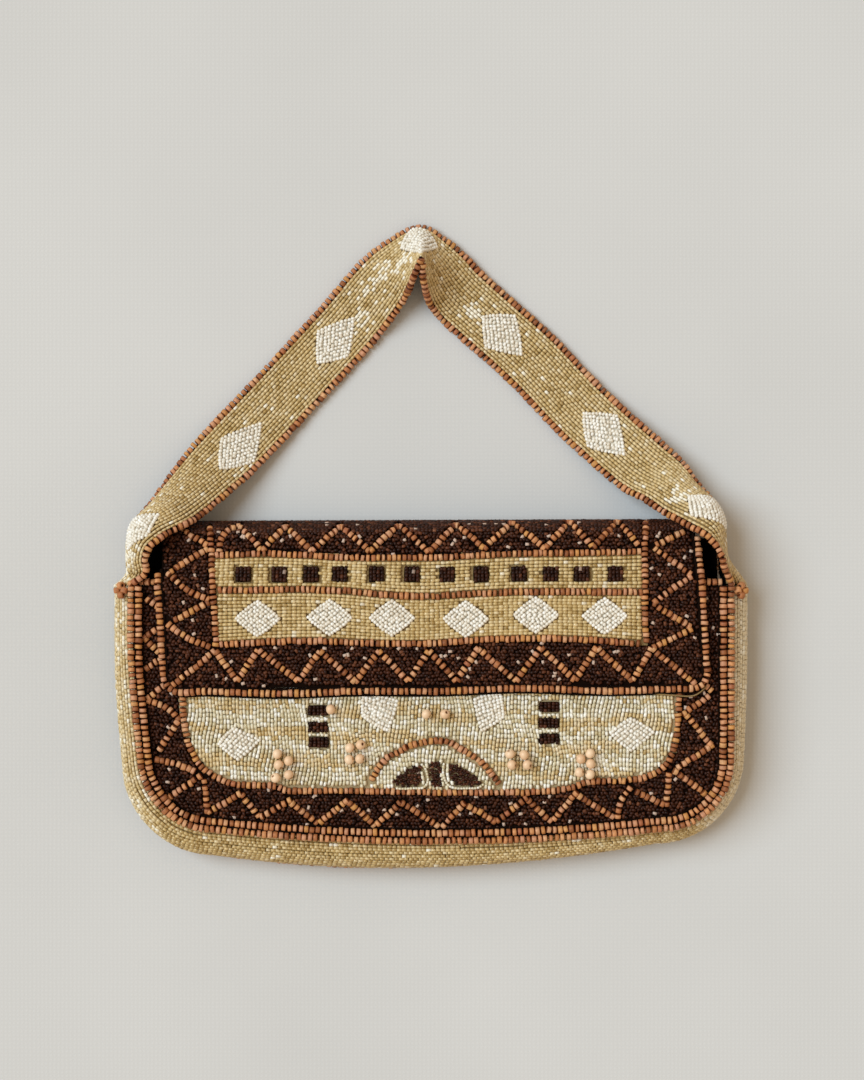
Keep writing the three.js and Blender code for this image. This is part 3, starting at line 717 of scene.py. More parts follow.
px, py = panel_grid("front", FRONT_HEIGHT, GAP)
top = front_height(px, py)
front_ground = raised(px, py, top - GROUND_DEPTH)
front_cloth = cloth_sheet("front_cloth", front_ground, raised(px, py, top - WALL),
                          [dark_ground, lining_black, pale_ground], "gold_beadwork", "front_panel")
px, py = panel_grid("back", BACK_TOP, EDGE_BEAD_RADIUS)
cloth_sheet("back_cloth", raised(px, py, GROUND_DEPTH), raised(px, py, WALL),
            [gold_ground, lining_black], "gold_beadwork", "back_panel")
gusset = gusset_grid()
gusset_out = grid_normals(gusset, (0, -1, 0))
cloth_sheet("gusset_cloth", gusset - gusset_out * GROUND_DEPTH, gusset - gusset_out * WALL,
            [gold_ground, lining_black], "gold_beadwork", "gusset")
flap = flap_grid()
flap_out = grid_normals(flap, (0, 0, 1))
flap_ground = flap - flap_out * GROUND_DEPTH
flap_under = flap - flap_out * WALL
for grid in (flap_ground, flap_under):
    grid[0, :, 1] = flap[0, :, 1]
    grid[-1, :, 1] = flap[-1, :, 1]
flap_cloth = cloth_sheet("flap_cloth", flap_ground, flap_under, [dark_ground, lining_black, gold_ground],
                         "dark_beadwork", "flap")
strap_t, strap_v = np.meshgrid(np.linspace(0, 1, 321), np.linspace(-1, 1, 17), indexing="ij")
strap = strap_point(strap_t, strap_v)
strap_up = grid_normals(strap, (0, 0, 1))
strap_cloth = cloth_sheet("strap_cloth", strap - strap_up * GROUND_DEPTH, strap - strap_up * WALL,
                          [gold_ground, lining_black], "gold_beadwork", "strap")


# The lining keeps its solid's shape, with its doubled points welded
lining = bpy.data.objects.new("lining_cloth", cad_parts["lining"].data.copy())
bpy.context.scene.collection.objects.link(lining)
lining.data.materials.clear()
lining.modifiers.new("weld", "WELD").merge_threshold = 0.00001
finish_piece(lining, [lining_black], "lining_cloth", "lining")

# Points on the front and the flap


def surface_frame(height, xy, depth):
    """Places under a surface given by its height, and the surface's normals there."""
    x, y = xy[:, 0], xy[:, 1]
    step = 0.5
    slope_x = (height(x + step, y) - height(x - step, y)) / (2 * step)
    slope_y = (height(x, y + step) - height(x, y - step)) / (2 * step)
    normals = unit(np.stack([-slope_x, -slope_y, np.ones_like(x)], 1))
    return np.column_stack([xy, height(x, y)]) - normals * np.asarray(depth)[..., None], normals


def lay(strings, height, xy, heading, depth, length, radius, tone=None, glint=0.0):
    """Adds beads that lie under a surface, each with its axis along a plan direction."""
    middles, normals = surface_frame(height, xy, np.full(len(xy), float(depth)))
    heading = np.column_stack([np.broadcast_to(heading, xy.shape), np.zeros(len(xy))])
    axes = unit(heading - normals * (heading * normals).sum(1, keepdims=True))
    strings.add(middles, axes, normals, length, radius, tone, glint)


def distance_to(lines, xy):
    """Distance from plan points to the nearest of several lines of points."""
    best = np.full(len(xy), 1e9)
    for line in lines:
        for a, b in zip(line[:-1], line[1:]):
            ab = b - a
            t = np.clip(((xy - a) @ ab) / max(ab @ ab, 1e-9), 0, 1)
            best = np.minimum(best, np.linalg.norm(xy - a - t[:, None] * ab, axis=1))
    return best


def inside_polygon(polygon, xy):
    inside = np.zeros(len(xy), bool)
    for a, b in zip(polygon, np.roll(polygon, -1, axis=0)):
        crosses = (a[1] > xy[:, 1]) != (b[1] > xy[:, 1])
        rise = b[1] - a[1]
        at = a[0] + (xy[:, 1] - a[1]) * (b[0] - a[0]) / (rise if rise else 1e-9)
        inside ^= crosses & (xy[:, 0] < at)
    return inside


def patch(corners, u, v, margin=0.0):
    """Places in a four-cornered patch with slightly bowed edges, for u and v from -1 to 1."""
    a, b, c, d = np.asarray(corners, float)
    u, v = np.broadcast_arrays(np.asarray(u, float), np.asarray(v, float))
    weights = [(1 - u) * (1 - v), (1 + u) * (1 - v), (1 + u) * (1 + v), (1 - u) * (1 + v)]
    middle = (a + b + c + d) / 4
    away = sum(w[..., None] * (corner - middle) / 4 for w, corner in zip(weights, (a, b, c, d)))
    bowed = 1 + PATCH_BOW * (1 - np.minimum(np.abs(u), np.abs(v)) ** 2)
    size = np.linalg.norm(away, axis=-1)
    return middle + away * (bowed + margin / np.maximum(size, 1e-9))[..., None]


def patch_outline(corners, margin):
    """The edge of a patch as a plan polygon."""
    t = np.linspace(-1, 1, 9)[:-1]
    one = np.ones_like(t)
    sides = (t, -one), (one, t), (-t, one), (-one, -t)
    return np.concatenate([patch(corners, u, v, margin) for u, v in sides])


def in_patches(patches, xy, margin):
    """Which plan places lie in any of several patches."""
    return np.any([inside_polygon(patch_outline(corners, margin), xy) for corners in patches], axis=0)


def patch_beads(corners, pitch):
    """Beads that fill a patch, in rows along its edges."""
    a, b, c, d = np.asarray(corners, float)
    across = max(3, round((np.linalg.norm(b - a) + np.linalg.norm(d - c)) / 2 / pitch))
    down = max(3, round((np.linalg.norm(c - b) + np.linalg.norm(a - d)) / 2 / pitch))
    u, v = np.meshgrid(np.linspace(-1, 1, across + 1), np.linspace(-1, 1, down + 1), indexing="ij")
    places = patch(corners, u.ravel(), v.ravel())
    inner = (np.maximum(np.abs(u), np.abs(v)).ravel() < 0.99)[:, None]
    places += rng.normal(0, 0.13, places.shape) * (0.4 + inner)
    turn = rng.normal(0, 0.4, len(places)) + (rng.random(len(places)) < 0.3) * math.pi / 2
    first = unit(b - a + c - d)
    headings = np.stack([first[0] * np.cos(turn) - first[1] * np.sin(turn),
                         first[0] * np.sin(turn) + first[1] * np.cos(turn)], 1)
    return places, headings


def patch_grid(corners, margin):
    """A grid of plan places that covers a patch."""
    steps = np.linspace(-1, 1, 13)
    u, v = np.meshgrid(steps, steps, indexing="ij")
    return patch(corners, u.ravel(), v.ravel(), margin)


def patch_cloth(name, surfaces, material, slot):
    """The cloth under patches of beads, from the places and normals of each patch's grid."""
    vertices, faces = [], []
    for here, out in surfaces:
        size = math.isqrt(len(here))
        first = len(vertices)
        vertices += list(here - out * PATCH_DEPTH) + list(here - out * (GROUND_DEPTH + 0.2))
        at = first + np.arange(size * size).reshape(size, size)
        under = at + size * size
        quads = np.stack([at[:-1, :-1], at[1:, :-1], at[1:, 1:], at[:-1, 1:]], -1).reshape(-1, 4)
        faces += quads.tolist() + (quads[:, ::-1] + size * size).tolist()
        for line in (at[0], at[-1][::-1], at[:, 0][::-1], at[:, -1]):
            low = line + size * size
            faces += np.stack([line[:-1], line[1:], low[1:], low[:-1]], -1).tolist()
    piece = mesh_object(name, np.array(vertices), faces)
    return finish_piece(piece, [material], slot)


def patch_surface(height, corners, margin=PATCH_MARGIN):
    """Places and normals of a patch's grid on a surface given by its height."""
    grid = patch_grid(corners, margin)
    return surface_frame(height, grid, np.zeros(len(grid)))


def lay_patch(strings, height, corners, rise, top=math.inf):
    """Lays white beads on a patch, below a plan height."""
    places, headings = patch_beads(corners, WHITE_PITCH)
    keep = places[:, 1] < top
    lay(strings, height, places[keep], headings[keep], WHITE_RADIUS - rise, WHITE_LENGTH, WHITE_RADIUS)


def lay_block(strings, height, centre, half, counts, size, rise, spread):
    """Lays an upright block of dark beads: half its width and height, and how many beads lie each way."""
    across, down = (
        (np.arange(count) - (count - 1) / 2) * 2 * reach / count for count, reach in zip(counts, half)
    )
    across, down = np.meshgrid(across, down)
    count = across.size
    xy = centre + np.stack([across.ravel(), down.ravel()], 1) + rng.normal(0, BLOCK_JITTER, (count, 2))
    lay(strings, height, xy, (0.1, 1), GLASS_RADIUS - rise, *size,
        rng.beta(*spread, count), glints(count, 0.02, 0.4))


def lay_dark_field(strings, height, xy, spread):
    """Lays loose dark beads, each turned its own way."""
    turn = rng.normal(0, DARK_TURN, len(xy))
    headings = np.stack([np.cos(turn), np.sin(turn)], 1)
    lay(strings, height, xy, headings, SEED_RADIUS, SEED_PITCH, SEED_RADIUS,
        rng.beta(*spread, len(xy)), glints(len(xy), 0.025, 0.7))


def diamond(centre, half_wide, half_high):
    return np.asarray(centre) + [(-half_wide, 0), (0, half_high), (half_wide, 0), (0, -half_high)]


def stroke(strings, height, line, pitch=WOOD_PITCH, rise=STROKE_RISE):
    """A string of wooden beads along a plan line on a surface."""
    middles, along = resample(line, pitch)
    middles += rng.normal(0, STROKE_JITTER, middles.shape)
    lay(strings, height, middles, along, EDGE_BEAD_RADIUS - rise, WOOD_LENGTH * pitch / WOOD_PITCH,
        EDGE_BEAD_RADIUS * 0.96)


def curve_through(points, step=1.0):
    """A smooth plan line through points."""
    points = np.asarray(points, float)
    ends = [2 * points[0] - points[1], *points, 2 * points[-1] - points[-2]]
    line = []
    for a, b, c, d in zip(ends[:-3], ends[1:-2], ends[2:-1], ends[3:]):
        count = max(2, int(np.linalg.norm(c - b) / step))
        for f in np.arange(count) / count:
            line.append(0.5 * (2 * b + (c - a) * f + (2 * a - 5 * b + 4 * c - d) * f**2
                               + (3 * b - a - 3 * c + d) * f**3))
    line.append(points[-1])
    return np.array(line)


def seed_field(box, pitch):
    """Loose rows of places that fill a box (x0, y0, x1, y1)."""
    x0, y0, x1, y1 = box
    places = []
    for row, y in enumerate(np.arange(y0, y1, pitch * 0.9)):
        x = np.arange(x0 + (row % 2) * pitch / 2, x1, pitch)
        places.append(np.stack([x, np.full(len(x), y)], 1))
    places = np.concatenate(places)
    return places + rng.normal(size=places.shape) * SEED_JITTER


# Marks random beads to glint, with the strength of their painted highlight: their colour is painted near
# white
def glints(count, share, strength=1.0):
    return (rng.random(count) < share) * strength


# The flap: rows and zigzags of wooden beads, given in the photograph's pixels

FLAP_LEFT_ROW = [(210, 526), (211.5, 560), (213.5, 600), (215.5, 634), (216, 647)]
FLAP_RIGHT_ROW = [(645, 520), (645, 560), (645, 600), (646, 643)]
FLAP_ROWS = {
    "upper": [(214, 555), (260, 553.5), (300, 554.5), (345, 557), (400, 557.5), (440, 557), (490, 554.5),
              (540, 553), (590, 552.5), (642, 551)],
    "middle": [(217, 590), (260, 590), (300, 589.5), (345, 591), (395, 595.5), (430, 596.5), (470, 594),
               (520, 592), (580, 592), (643, 592)],
    "lower": [(219, 645), (270, 642), (320, 641), (380, 643.5), (430, 643.5), (480, 640), (540, 638.5),
              (590, 640), (640, 643.5)],
}
TOP_ZIGZAG = [(240, 525), (262, 550), (286, 525), (312, 551), (341, 525), (370, 551), (399, 524),
              (429, 552), (456, 523), (484, 548), (512, 521), (545, 548), (569, 520), (593, 547),
              (617, 520), (638, 544)]
BOTTOM_ZIGZAG = [(172, 686), (215, 651), (237, 681), (258, 650), (298, 681), (320, 651), (355, 682),
                 (379, 651), (408, 681), (429, 651), (457, 681), (478, 648), (516, 681), (541, 648),
                 (575, 680), (597, 648), (633, 681), (652, 648), (695, 684)]
LEFT_STROKES = [[(219, 550), (221, 539), (227, 530), (238, 525)], [(182, 528), (206, 545)],
                [(206, 549), (172, 570)], [(169, 574), (190, 592), (208, 599)], [(207, 603), (176, 620)],
                [(169, 625), (188, 638), (208, 646)]]
RIGHT_STROKES = [[(682, 532), (658, 544)], [(655, 548), (690, 573)], [(690, 577), (656, 601)],
                 [(655, 605), (689, 626)], [(690, 630), (655, 647)]]
DARK_SQUARES = [243, 279, 311, 340, 376.5, 412, 447, 481, 519, 550.5, 582, 615.6]
DARK_SQUARE_ROW = 574
DARK_SQUARE_SIDE = 14.8
FLAP_DIAMONDS = [(257.6, 618.5), (329.6, 617.5), (392, 618), (466, 619), (536, 615), (605, 616)]
FLAP_DIAMOND_SIZE = (45, 36.5)


def box_corners(centre, half_wide, half_high):
    return np.asarray(centre) + [(-half_wide, -half_high), (half_wide, -half_high), (half_wide, half_high),
                                 (-half_wide, half_high)]


def lengthened(line, reach):
    """A line with both ends drawn out."""
    line = np.asarray(line, float)
    first, last = line[0] - line[1], line[-1] - line[-2]
    ends = line[0] + first / np.linalg.norm(first) * reach, line[-1] + last / np.linalg.norm(last) * reach
    return np.concatenate([[ends[0]], line[1:-1], [ends[1]]]) if len(line) > 2 else np.array(ends)


def zigzag(vertices):
    """Separate strokes between the corners of a zigzag, each a little longer than its side."""
    return [lengthened(ends, ZIGZAG_REACH) for ends in zip(vertices[:-1], vertices[1:])]


def photo_curve(line, height, reach=0.0):
    """A smooth plan line through points in the photograph's pixels, drawn out at its ends."""
    line = from_photo(line, height)
    return curve_through(lengthened(line, reach) if reach else line)


flap_left, flap_right, upper, middle, lower = flap_rows = [
    photo_curve(line, flap_top) for line in (FLAP_LEFT_ROW, FLAP_RIGHT_ROW, *FLAP_ROWS.values())
]
flap_strokes = [photo_curve(line, flap_top, STROKE_REACH) for line in (*LEFT_STROKES, *RIGHT_STROKES)]
flap_strokes += [from_photo(line, flap_top) for line in zigzag(TOP_ZIGZAG) + zigzag(BOTTOM_ZIGZAG)]
on_flap = flap_rows + flap_strokes
flap_wood = Strings()
for line in flap_rows:
    stroke(flap_wood, flap_top, line, ROW_PITCH, ROW_RISE)
for line in flap_strokes:
    stroke(flap_wood, flap_top, line)

squares = from_photo([(x, DARK_SQUARE_ROW + 0.3 * math.sin(x)) for x in DARK_SQUARES], flap_top)
square_half = DARK_SQUARE_SIDE * PIXEL / 2
square_corners = [box_corners(square, square_half, square_half) for square in squares]
diamond_half = [side * PIXEL / 2 - 0.7 * WHITE_RADIUS for side in FLAP_DIAMOND_SIZE]
flap_diamonds = [diamond(centre, *diamond_half) for centre in from_photo(FLAP_DIAMONDS, flap_top)]


def near_square(xy):
    away = np.abs(xy[:, None] - squares[None])
    return ((away[..., 0] < square_half + 0.7) & (away[..., 1] < square_half + 0.3)).any(1)


def side_at(line, y):
    return np.interp(-y, -line[:, 1], line[:, 0])


def in_gold_band(xy):
    x, y = xy.T
    beside = (x > side_at(flap_left, y)) & (x < side_at(flap_right, y))
    return beside & (y < height_along(upper, x)) & (y > height_along(lower, x))


flap_gold, flap_dark, flap_white = Strings(), Strings(), Strings()


def height_along(line, x):
    return np.interp(x, line[:, 0], line[:, 1])


for over, under, count in ((upper, middle, 9), (middle, lower, 13)):
    for k in range(count):
        share = (k + 0.5) / count
        x = np.arange(over[0, 0], over[-1, 0], 1.0)
        clear = EDGE_BEAD_RADIUS
        line = np.stack([x, lerp(height_along(over, x) - clear, height_along(under, x) + clear, share)], 1)
        xy, along = resample(line, GLASS_LENGTH, 0.5 + 0.3 * rng.random())
        left = side_at(flap_left, xy[:, 1]) + EDGE_BEAD_RADIUS
        right = side_at(flap_right, xy[:, 1]) - EDGE_BEAD_RADIUS
        keep = (xy[:, 0] > left) & (xy[:, 0] < right)
        keep &= ~near_square(xy) & ~in_patches(flap_diamonds, xy, PATCH_CLEAR)
        xy, along = xy[keep], along[keep]
        tone = np.clip(rng.normal(0.36, 0.18, len(xy)), 0, 1)
        lay(flap_gold, flap_top, xy, along, GLASS_RADIUS, GLASS_LENGTH, STRING_PITCH * 0.53, tone,
            glints(len(xy), 0.02, 0.6))

for square in squares:
    lay_block(flap_dark, flap_top, square, (square_half, square_half), (4, 4),
              (square_half / 1.9, square_half / 4 * 1.15), 0.4, (1.2, 4.0))
paint(flap_cloth, flap_ground, 2, in_gold_band)

for corners in flap_diamonds:
    lay_patch(flap_white, flap_top, corners, 0.5)

patch_cloth("flap_patch_cloth", [patch_surface(flap_top, corners) for corners in flap_diamonds],
            ivory_ground, "gold_beadwork")
patch_cloth("flap_square_cloth", [patch_surface(flap_top, corners, 0.0) for corners in square_corners],
            dark_ground, "dark_beadwork")

# Dark field of the flap
box = (-118, FLAP_EDGE_HEIGHT, 118, BACK_TOP + 7)
xy = seed_field(box, SEED_PITCH)
own_x = xy[:, 0] - FLAP_SHIFT + FLAP_LEAN * (xy[:, 1] - FLAP_EDGE_HEIGHT)
own_y = xy[:, 1] - FLAP_TILT * own_x
keep = (np.abs(own_x) < flap_half(own_y) - SEED_RADIUS) & (own_y > FLAP_EDGE_HEIGHT + SEED_RADIUS)
keep &= own_y < BACK_TOP + 0.4 * FOLD_REACH
keep &= ~in_gold_band(xy)
keep &= distance_to(on_flap, xy) > SEED_CLEAR
lay_dark_field(flap_dark, flap_top, xy[keep], DARK_SPREAD)

# Dark beads over the fold, from the flap's upper face round to its back
for turn_row in np.radians(np.arange(66, -74, -6.5)):
    y_row = BACK_TOP + GAP + FOLD_REACH * math.cos(turn_row)
    share_row = (1 + math.sin(turn_row)) / 2
    x_row = np.linspace(-FLAP_WIDTH / 2 + 1, FLAP_WIDTH / 2 - 1, 240)
    line = flap_place(x_row, np.full_like(x_row, y_row), np.full_like(x_row, share_row))
    middles, along = resample(line, SEED_PITCH, 0.3 + 0.4 * rng.random())
    if turn_row > 0:
        clear = distance_to(on_flap, middles[:, :2]) > SEED_CLEAR
        middles, along = middles[clear], along[clear]
    out = np.array([0, math.cos(turn_row), math.sin(turn_row)])
    flap_dark.add(middles - out * SEED_RADIUS, along, out, SEED_PITCH, SEED_RADIUS,
                  rng.beta(*DARK_SPREAD, len(middles)), glints(len(middles), 0.02, 0.6))

flap_wood.build("flap_wood_beads", WOOD, wood, "wood_beads", *STROKE_WOBBLE)
flap_gold.build("flap_gold_beads", GLASS, gold_glass, "gold_beadwork")
flap_dark.build("flap_dark_beads", PLAIN, dark_glass, "dark_beadwork", 0.12)
flap_white.build("flap_white_beads", SEED, white_glass, "gold_beadwork", 0.1)

# The front: border zigzags, inner contour, arch, bars and diamonds, in the photograph's pixels

FRONT_CONTOUR = [(181, 660), (182, 690), (183, 714), (186, 735), (192, 753), (205, 770), (233, 784),
                 (272, 786), (291, 791), (337, 791), (400, 792), (473, 793), (536, 792), (570, 788.5),
                 (589, 782), (618, 781), (650, 776), (668, 762), (676, 740), (679, 704), (680, 660)]
FRONT_STROKES = [
    [(166, 612), (148, 600)], [(158, 629), (145, 637)], [(146, 640), (161, 655)], [(160, 660), (147, 668)],
    [(163, 686), (148, 698)], [(149, 701), (167, 708), (178, 719)], [(177, 723), (160, 749)],
    [(157, 760), (176, 764), (193, 771)], [(199, 777), (170, 797)], [(204, 782), (207, 811)],
    [(209, 812), (239, 795)], [(242, 796), (258, 816)], [(262, 817), (289, 801)], [(292, 804), (316, 823)],
    [(321, 822), (346, 802)], [(350, 804), (374, 825)], [(378, 824), (400, 804)], [(403, 804), (437, 826)],
    [(443, 826), (464, 804)], [(470, 808), (494, 821)], [(498, 821), (526, 799)], [(529, 801), (550, 821)],
    [(555, 819), (576, 794)], [(580, 797), (612, 817)], [(618, 817), (621, 802), (630, 789)],
    [(638, 793), (662, 804)], [(667, 804), (669, 775)], [(676, 772), (709, 797)], [(680, 767), (712, 746)],
    [(710, 744), (688, 717)], [(685, 713), (708, 697)], [(711, 690), (694, 676)],
]
FRONT_ARCH = [(371, 781), (377, 770.5), (386, 759), (399, 751.5), (414, 745), (430, 741.5), (445, 741.5),
              (459, 748), (473, 756.5), (486, 767), (492, 775), (500, 785)]
DARK_BARS = [
    [(318, 710.5), (318, 727.5), (318.5, 742.5)],
    [(549.5, 707), (549, 723), (549, 739)],
]
DARK_BAR_SIZE = (19.5, 9.6)
LEAVES = [
    [(391.5, 783), (396, 778), (402, 773), (409, 768), (417, 766), (421, 767), (422, 778), (420, 786),
     (404, 787)],
    [(430, 762), (437, 761), (441, 763), (441, 775), (442, 787), (432, 787), (429, 775)],
    [(449, 765), (455, 764), (461, 767), (468, 772), (476, 777), (481, 782), (478, 786), (466, 787),
     (457, 786), (451, 780)],
]
LEAF_RIMS = [
    [(421, 764), (425, 768), (427.5, 776), (427.5, 783), (423, 788), (414, 788.5), (403, 789), (396, 788.5)],
    [(444, 763), (443, 771), (444.5, 779), (449, 786), (457, 788.5), (468, 788.5), (478, 788), (484, 784)],
]
FRONT_DIAMONDS = [
    [(219, 744), (233, 729), (259, 740), (238, 759)],
    [(364, 694), (363, 716), (387, 730), (397, 701)],
    [(475, 699), (482, 730), (503, 717), (500, 694)],
    [(611, 733), (631, 719), (653, 732), (631, 750)],
]

contour = photo_curve(FRONT_CONTOUR, front_height)
front_strokes = [photo_curve(line, front_height, STROKE_REACH) for line in FRONT_STROKES]
arch = photo_curve(FRONT_ARCH, front_height)
front_wood = Strings()
for line in (contour, arch):
    stroke(front_wood, front_height, line, ROW_PITCH, ROW_RISE)
for line in front_strokes:
    stroke(front_wood, front_height, line)

mouth_x = np.linspace(-HALF_PANEL + 1.5, HALF_PANEL - 1.5, 120)
mouth_z = front_height(mouth_x, FRONT_HEIGHT) - EDGE_BEAD_RADIUS
mouth_row = raised(mouth_x, FRONT_HEIGHT + EDGE_BEAD_RADIUS, mouth_z)
middles, along = resample(mouth_row, WOOD_PITCH)
front_wood.add(middles, along, (0, 0, 1), WOOD_LENGTH, EDGE_BEAD_RADIUS * 0.95)

bars = [from_photo([p], front_height)[0] for column in DARK_BARS for p in column]
bar_half = tuple(side * PIXEL / 2 for side in DARK_BAR_SIZE)
leaves = [from_photo(line, front_height) for line in LEAVES]
leaf_rims = [photo_curve(line, front_height) for line in LEAF_RIMS]
front_diamonds = [from_photo(corners, front_height) for corners in FRONT_DIAMONDS]
ROUND_BEAD_CLUSTERS = [
    (-0.499, 0.484, [(-1.1, 2.24), (1.14, 0.86), (-0.86, 0.05), (1.14, -1.95), (-1.48, -2.57)]),
    (-0.258, 0.563, [(-0.95, 1.05), (1.24, 1.67), (-1.05, -1.33), (1.05, -1.14)]),
    (0.294, 0.52, [(-1.67, 1.14), (1.14, 0.95), (-1.29, -1.05), (1.81, -1.05)]),
    (0.519, 0.492, [(1, 2.1), (-0.9, 1), (1.1, 0), (-1.1, -1.71), (1, -2.14)]),
    (0.016, 0.82, [(-1.9, 0), (1.81, 0)]),
    (-0.338, 0.85, [(0, 0)]),
]
paint(front_cloth, front_ground, 2, lambda xy: inside_polygon(contour, xy))
round_places = np.array([
    (x * HALF_PANEL + dx * ROUND_BEAD_RADIUS, y * FLAP_EDGE_HEIGHT + dy * ROUND_BEAD_RADIUS)
    for x, y, beads in ROUND_BEAD_CLUSTERS for dx, dy in beads
])

SCALLOP_HEIGHT = 3.2
SCALLOP_LENGTH = 46
BAND_PITCH = 11.5
CREAM_FROM = -0.35
front_gold, front_cream, front_dark, front_white = Strings(), Strings(), Strings(), Strings()


def wave_tone(xy):
    """How cream the front's field is at a place: soft scalloped bands with broken edges."""
    x, y = xy[:, 0], xy[:, 1]
    scallops = SCALLOP_HEIGHT * np.abs(np.sin(math.pi * (x + 12) / SCALLOP_LENGTH))
    bands = np.sin(2 * math.pi * (y + scallops + 0.05 * x) / BAND_PITCH)
    blotches = np.sin(x / 9.3 + 1.2) * np.sin(y / 5.1 + x / 21)
    return bands * 0.75 + blotches * 0.5 + rng.normal(0, 0.35, len(x))


for x_line in np.arange(-108, 108, STRING_PITCH):
    y = np.arange(16, 66, 0.8)
    line = np.stack([x_line + 0.9 * np.sin(y / 7 + x_line / 15) + 0.35 * np.sin(y / 2.9 + x_line / 6), y], 1)
    xy, along = resample(line, GLASS_LENGTH * 0.95, 0.5 + 0.4 * rng.random())
    keep = inside_polygon(contour, xy) & (distance_to([contour, arch], xy) > FIELD_CLEAR)
    for centre in bars:
        keep &= (np.abs(xy - centre) > (bar_half[0] + 0.3, bar_half[1] + 0.4)).any(1)
    for leaf in leaves:
        keep &= ~inside_polygon(leaf, xy)
    keep &= distance_to(leaf_rims, xy) > LEAF_PITCH / 2 + 0.3
    keep &= ~in_patches(front_diamonds, xy, PATCH_CLEAR)
    inside_arch = inside_polygon(arch, xy)
    cream = keep & ((wave_tone(xy) > CREAM_FROM) | inside_arch)
    gold = keep & ~cream
    tones = [np.clip(rng.normal(*spread, len(xy)), 0, 1) for spread in ((0.62, 0.22), (0.48, 0.28))]
    for strings, chosen, tone, glint in zip((front_gold, front_cream), (gold, cream), tones, (0.01, 0.06)):
        lay(strings, front_height, xy[chosen], along[chosen], GLASS_RADIUS, GLASS_LENGTH * 0.93,
            STRING_PITCH / 2, tone[chosen], glints(chosen.sum(), glint, 0.8))

# Dark bars, each of five short strings, with a row of cream beads between two
for bar in bars:
    lay_block(front_dark, front_height, bar, bar_half, (5, 3), (bar_half[1] / 1.5, bar_half[0] / 5 * 1.1),
              0.35, (1.2, 4.5))
for above, below in ((bars[0], bars[1]), (bars[1], bars[2]), (bars[3], bars[4]), (bars[4], bars[5])):
    xy = (above + below) / 2 + np.stack([(np.arange(5) - 2) * bar_half[0] / 2.4, rng.normal(0, 0.1, 5)], 1)
    lay(front_cream, front_height, xy, (1, 0), 0.4, 1.5, 0.66, np.clip(rng.normal(0.7, 0.2, 5), 0, 1))

# Dark leaves under the arch, with pale rims
for leaf in leaves:
    xy = seed_field((*leaf.min(0), *leaf.max(0)), LEAF_PITCH)
    xy = xy[inside_polygon(leaf, xy)]
    lay(front_dark, front_height, xy, (1, 0.2), LEAF_PITCH / 2, LEAF_PITCH, LEAF_PITCH * 0.56,
        rng.beta(1.4, 3.0, len(xy)), glints(len(xy), 0.02, 0.5))
for rim in leaf_rims:
    xy, along = resample(rim, LEAF_PITCH)
    lay(front_cream, front_height, xy, along, 0.25, LEAF_PITCH, LEAF_PITCH * 0.5,
        np.clip(rng.normal(0.5, 0.2, len(xy)), 0, 1))

for corners in front_diamonds:
    lay_patch(front_white, front_height, corners, 0.45, FLAP_EDGE_HEIGHT - 2)
patch_cloth("front_patch_cloth", [patch_surface(front_height, corners) for corners in front_diamonds],
            ivory_ground, "gold_beadwork")
bar_corners = [box_corners(bar, *bar_half) for bar in bars]
patch_cloth("front_bar_cloth", [patch_surface(front_height, corners, 0.0) for corners in bar_corners],
            dark_ground, "dark_beadwork")

# Dark border of the front, between its contour and the rows at the seam
inner_seam = seam_points("front", -2 * EDGE_BEAD_RADIUS - GAP, 0)[:, :2]
xy = seed_field((-HALF_PANEL, 4, HALF_PANEL, FRONT_HEIGHT), SEED_PITCH)
keep = inside_polygon(inner_seam, xy) & ~inside_polygon(contour, xy)
keep &= distance_to([contour, *front_strokes], xy) > SEED_CLEAR
keep &= (np.abs(xy[:, 0] - 1) > 104) | (xy[:, 1] < FLAP_EDGE_HEIGHT + 4)
lay_dark_field(front_dark, front_height, xy[keep], (1.4, 3.6))

front_wood.build("front_wood_beads", WOOD, wood, "wood_beads", *STROKE_WOBBLE)
front_gold.build("front_gold_beads", GLASS, gold_glass, "gold_beadwork", 0.1, 0.1)
front_cream.build("front_cream_beads", GLASS, cream_glass, "gold_beadwork", 0.1, 0.1)
front_dark.build("front_dark_beads", PLAIN, dark_glass, "dark_beadwork", 0.12)
front_white.build("front_white_beads", SEED, white_glass, "gold_beadwork", 0.1)

# Round beads of the front, each with its hole upwards at a slant, darkened inside as painted shade
round_strings = Strings()
middles = np.column_stack([round_places, front_height(*round_places.T) + ROUND_BEAD_RADIUS + GAP - 0.5])
lean = rng.normal(0, 0.5, (len(middles), 3)) + (1, 0, 0)
round_strings.add(middles, unit(lean), (0, 0, 1), 2 * ROUND_BEAD_RADIUS / 2, ROUND_BEAD_RADIUS)
round_piece = round_strings.build("round_beads", ROUND, peach_wood, "round_beads", 0.0, 0.02)
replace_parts(round_piece, *[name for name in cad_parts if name.startswith("round_bead_")])

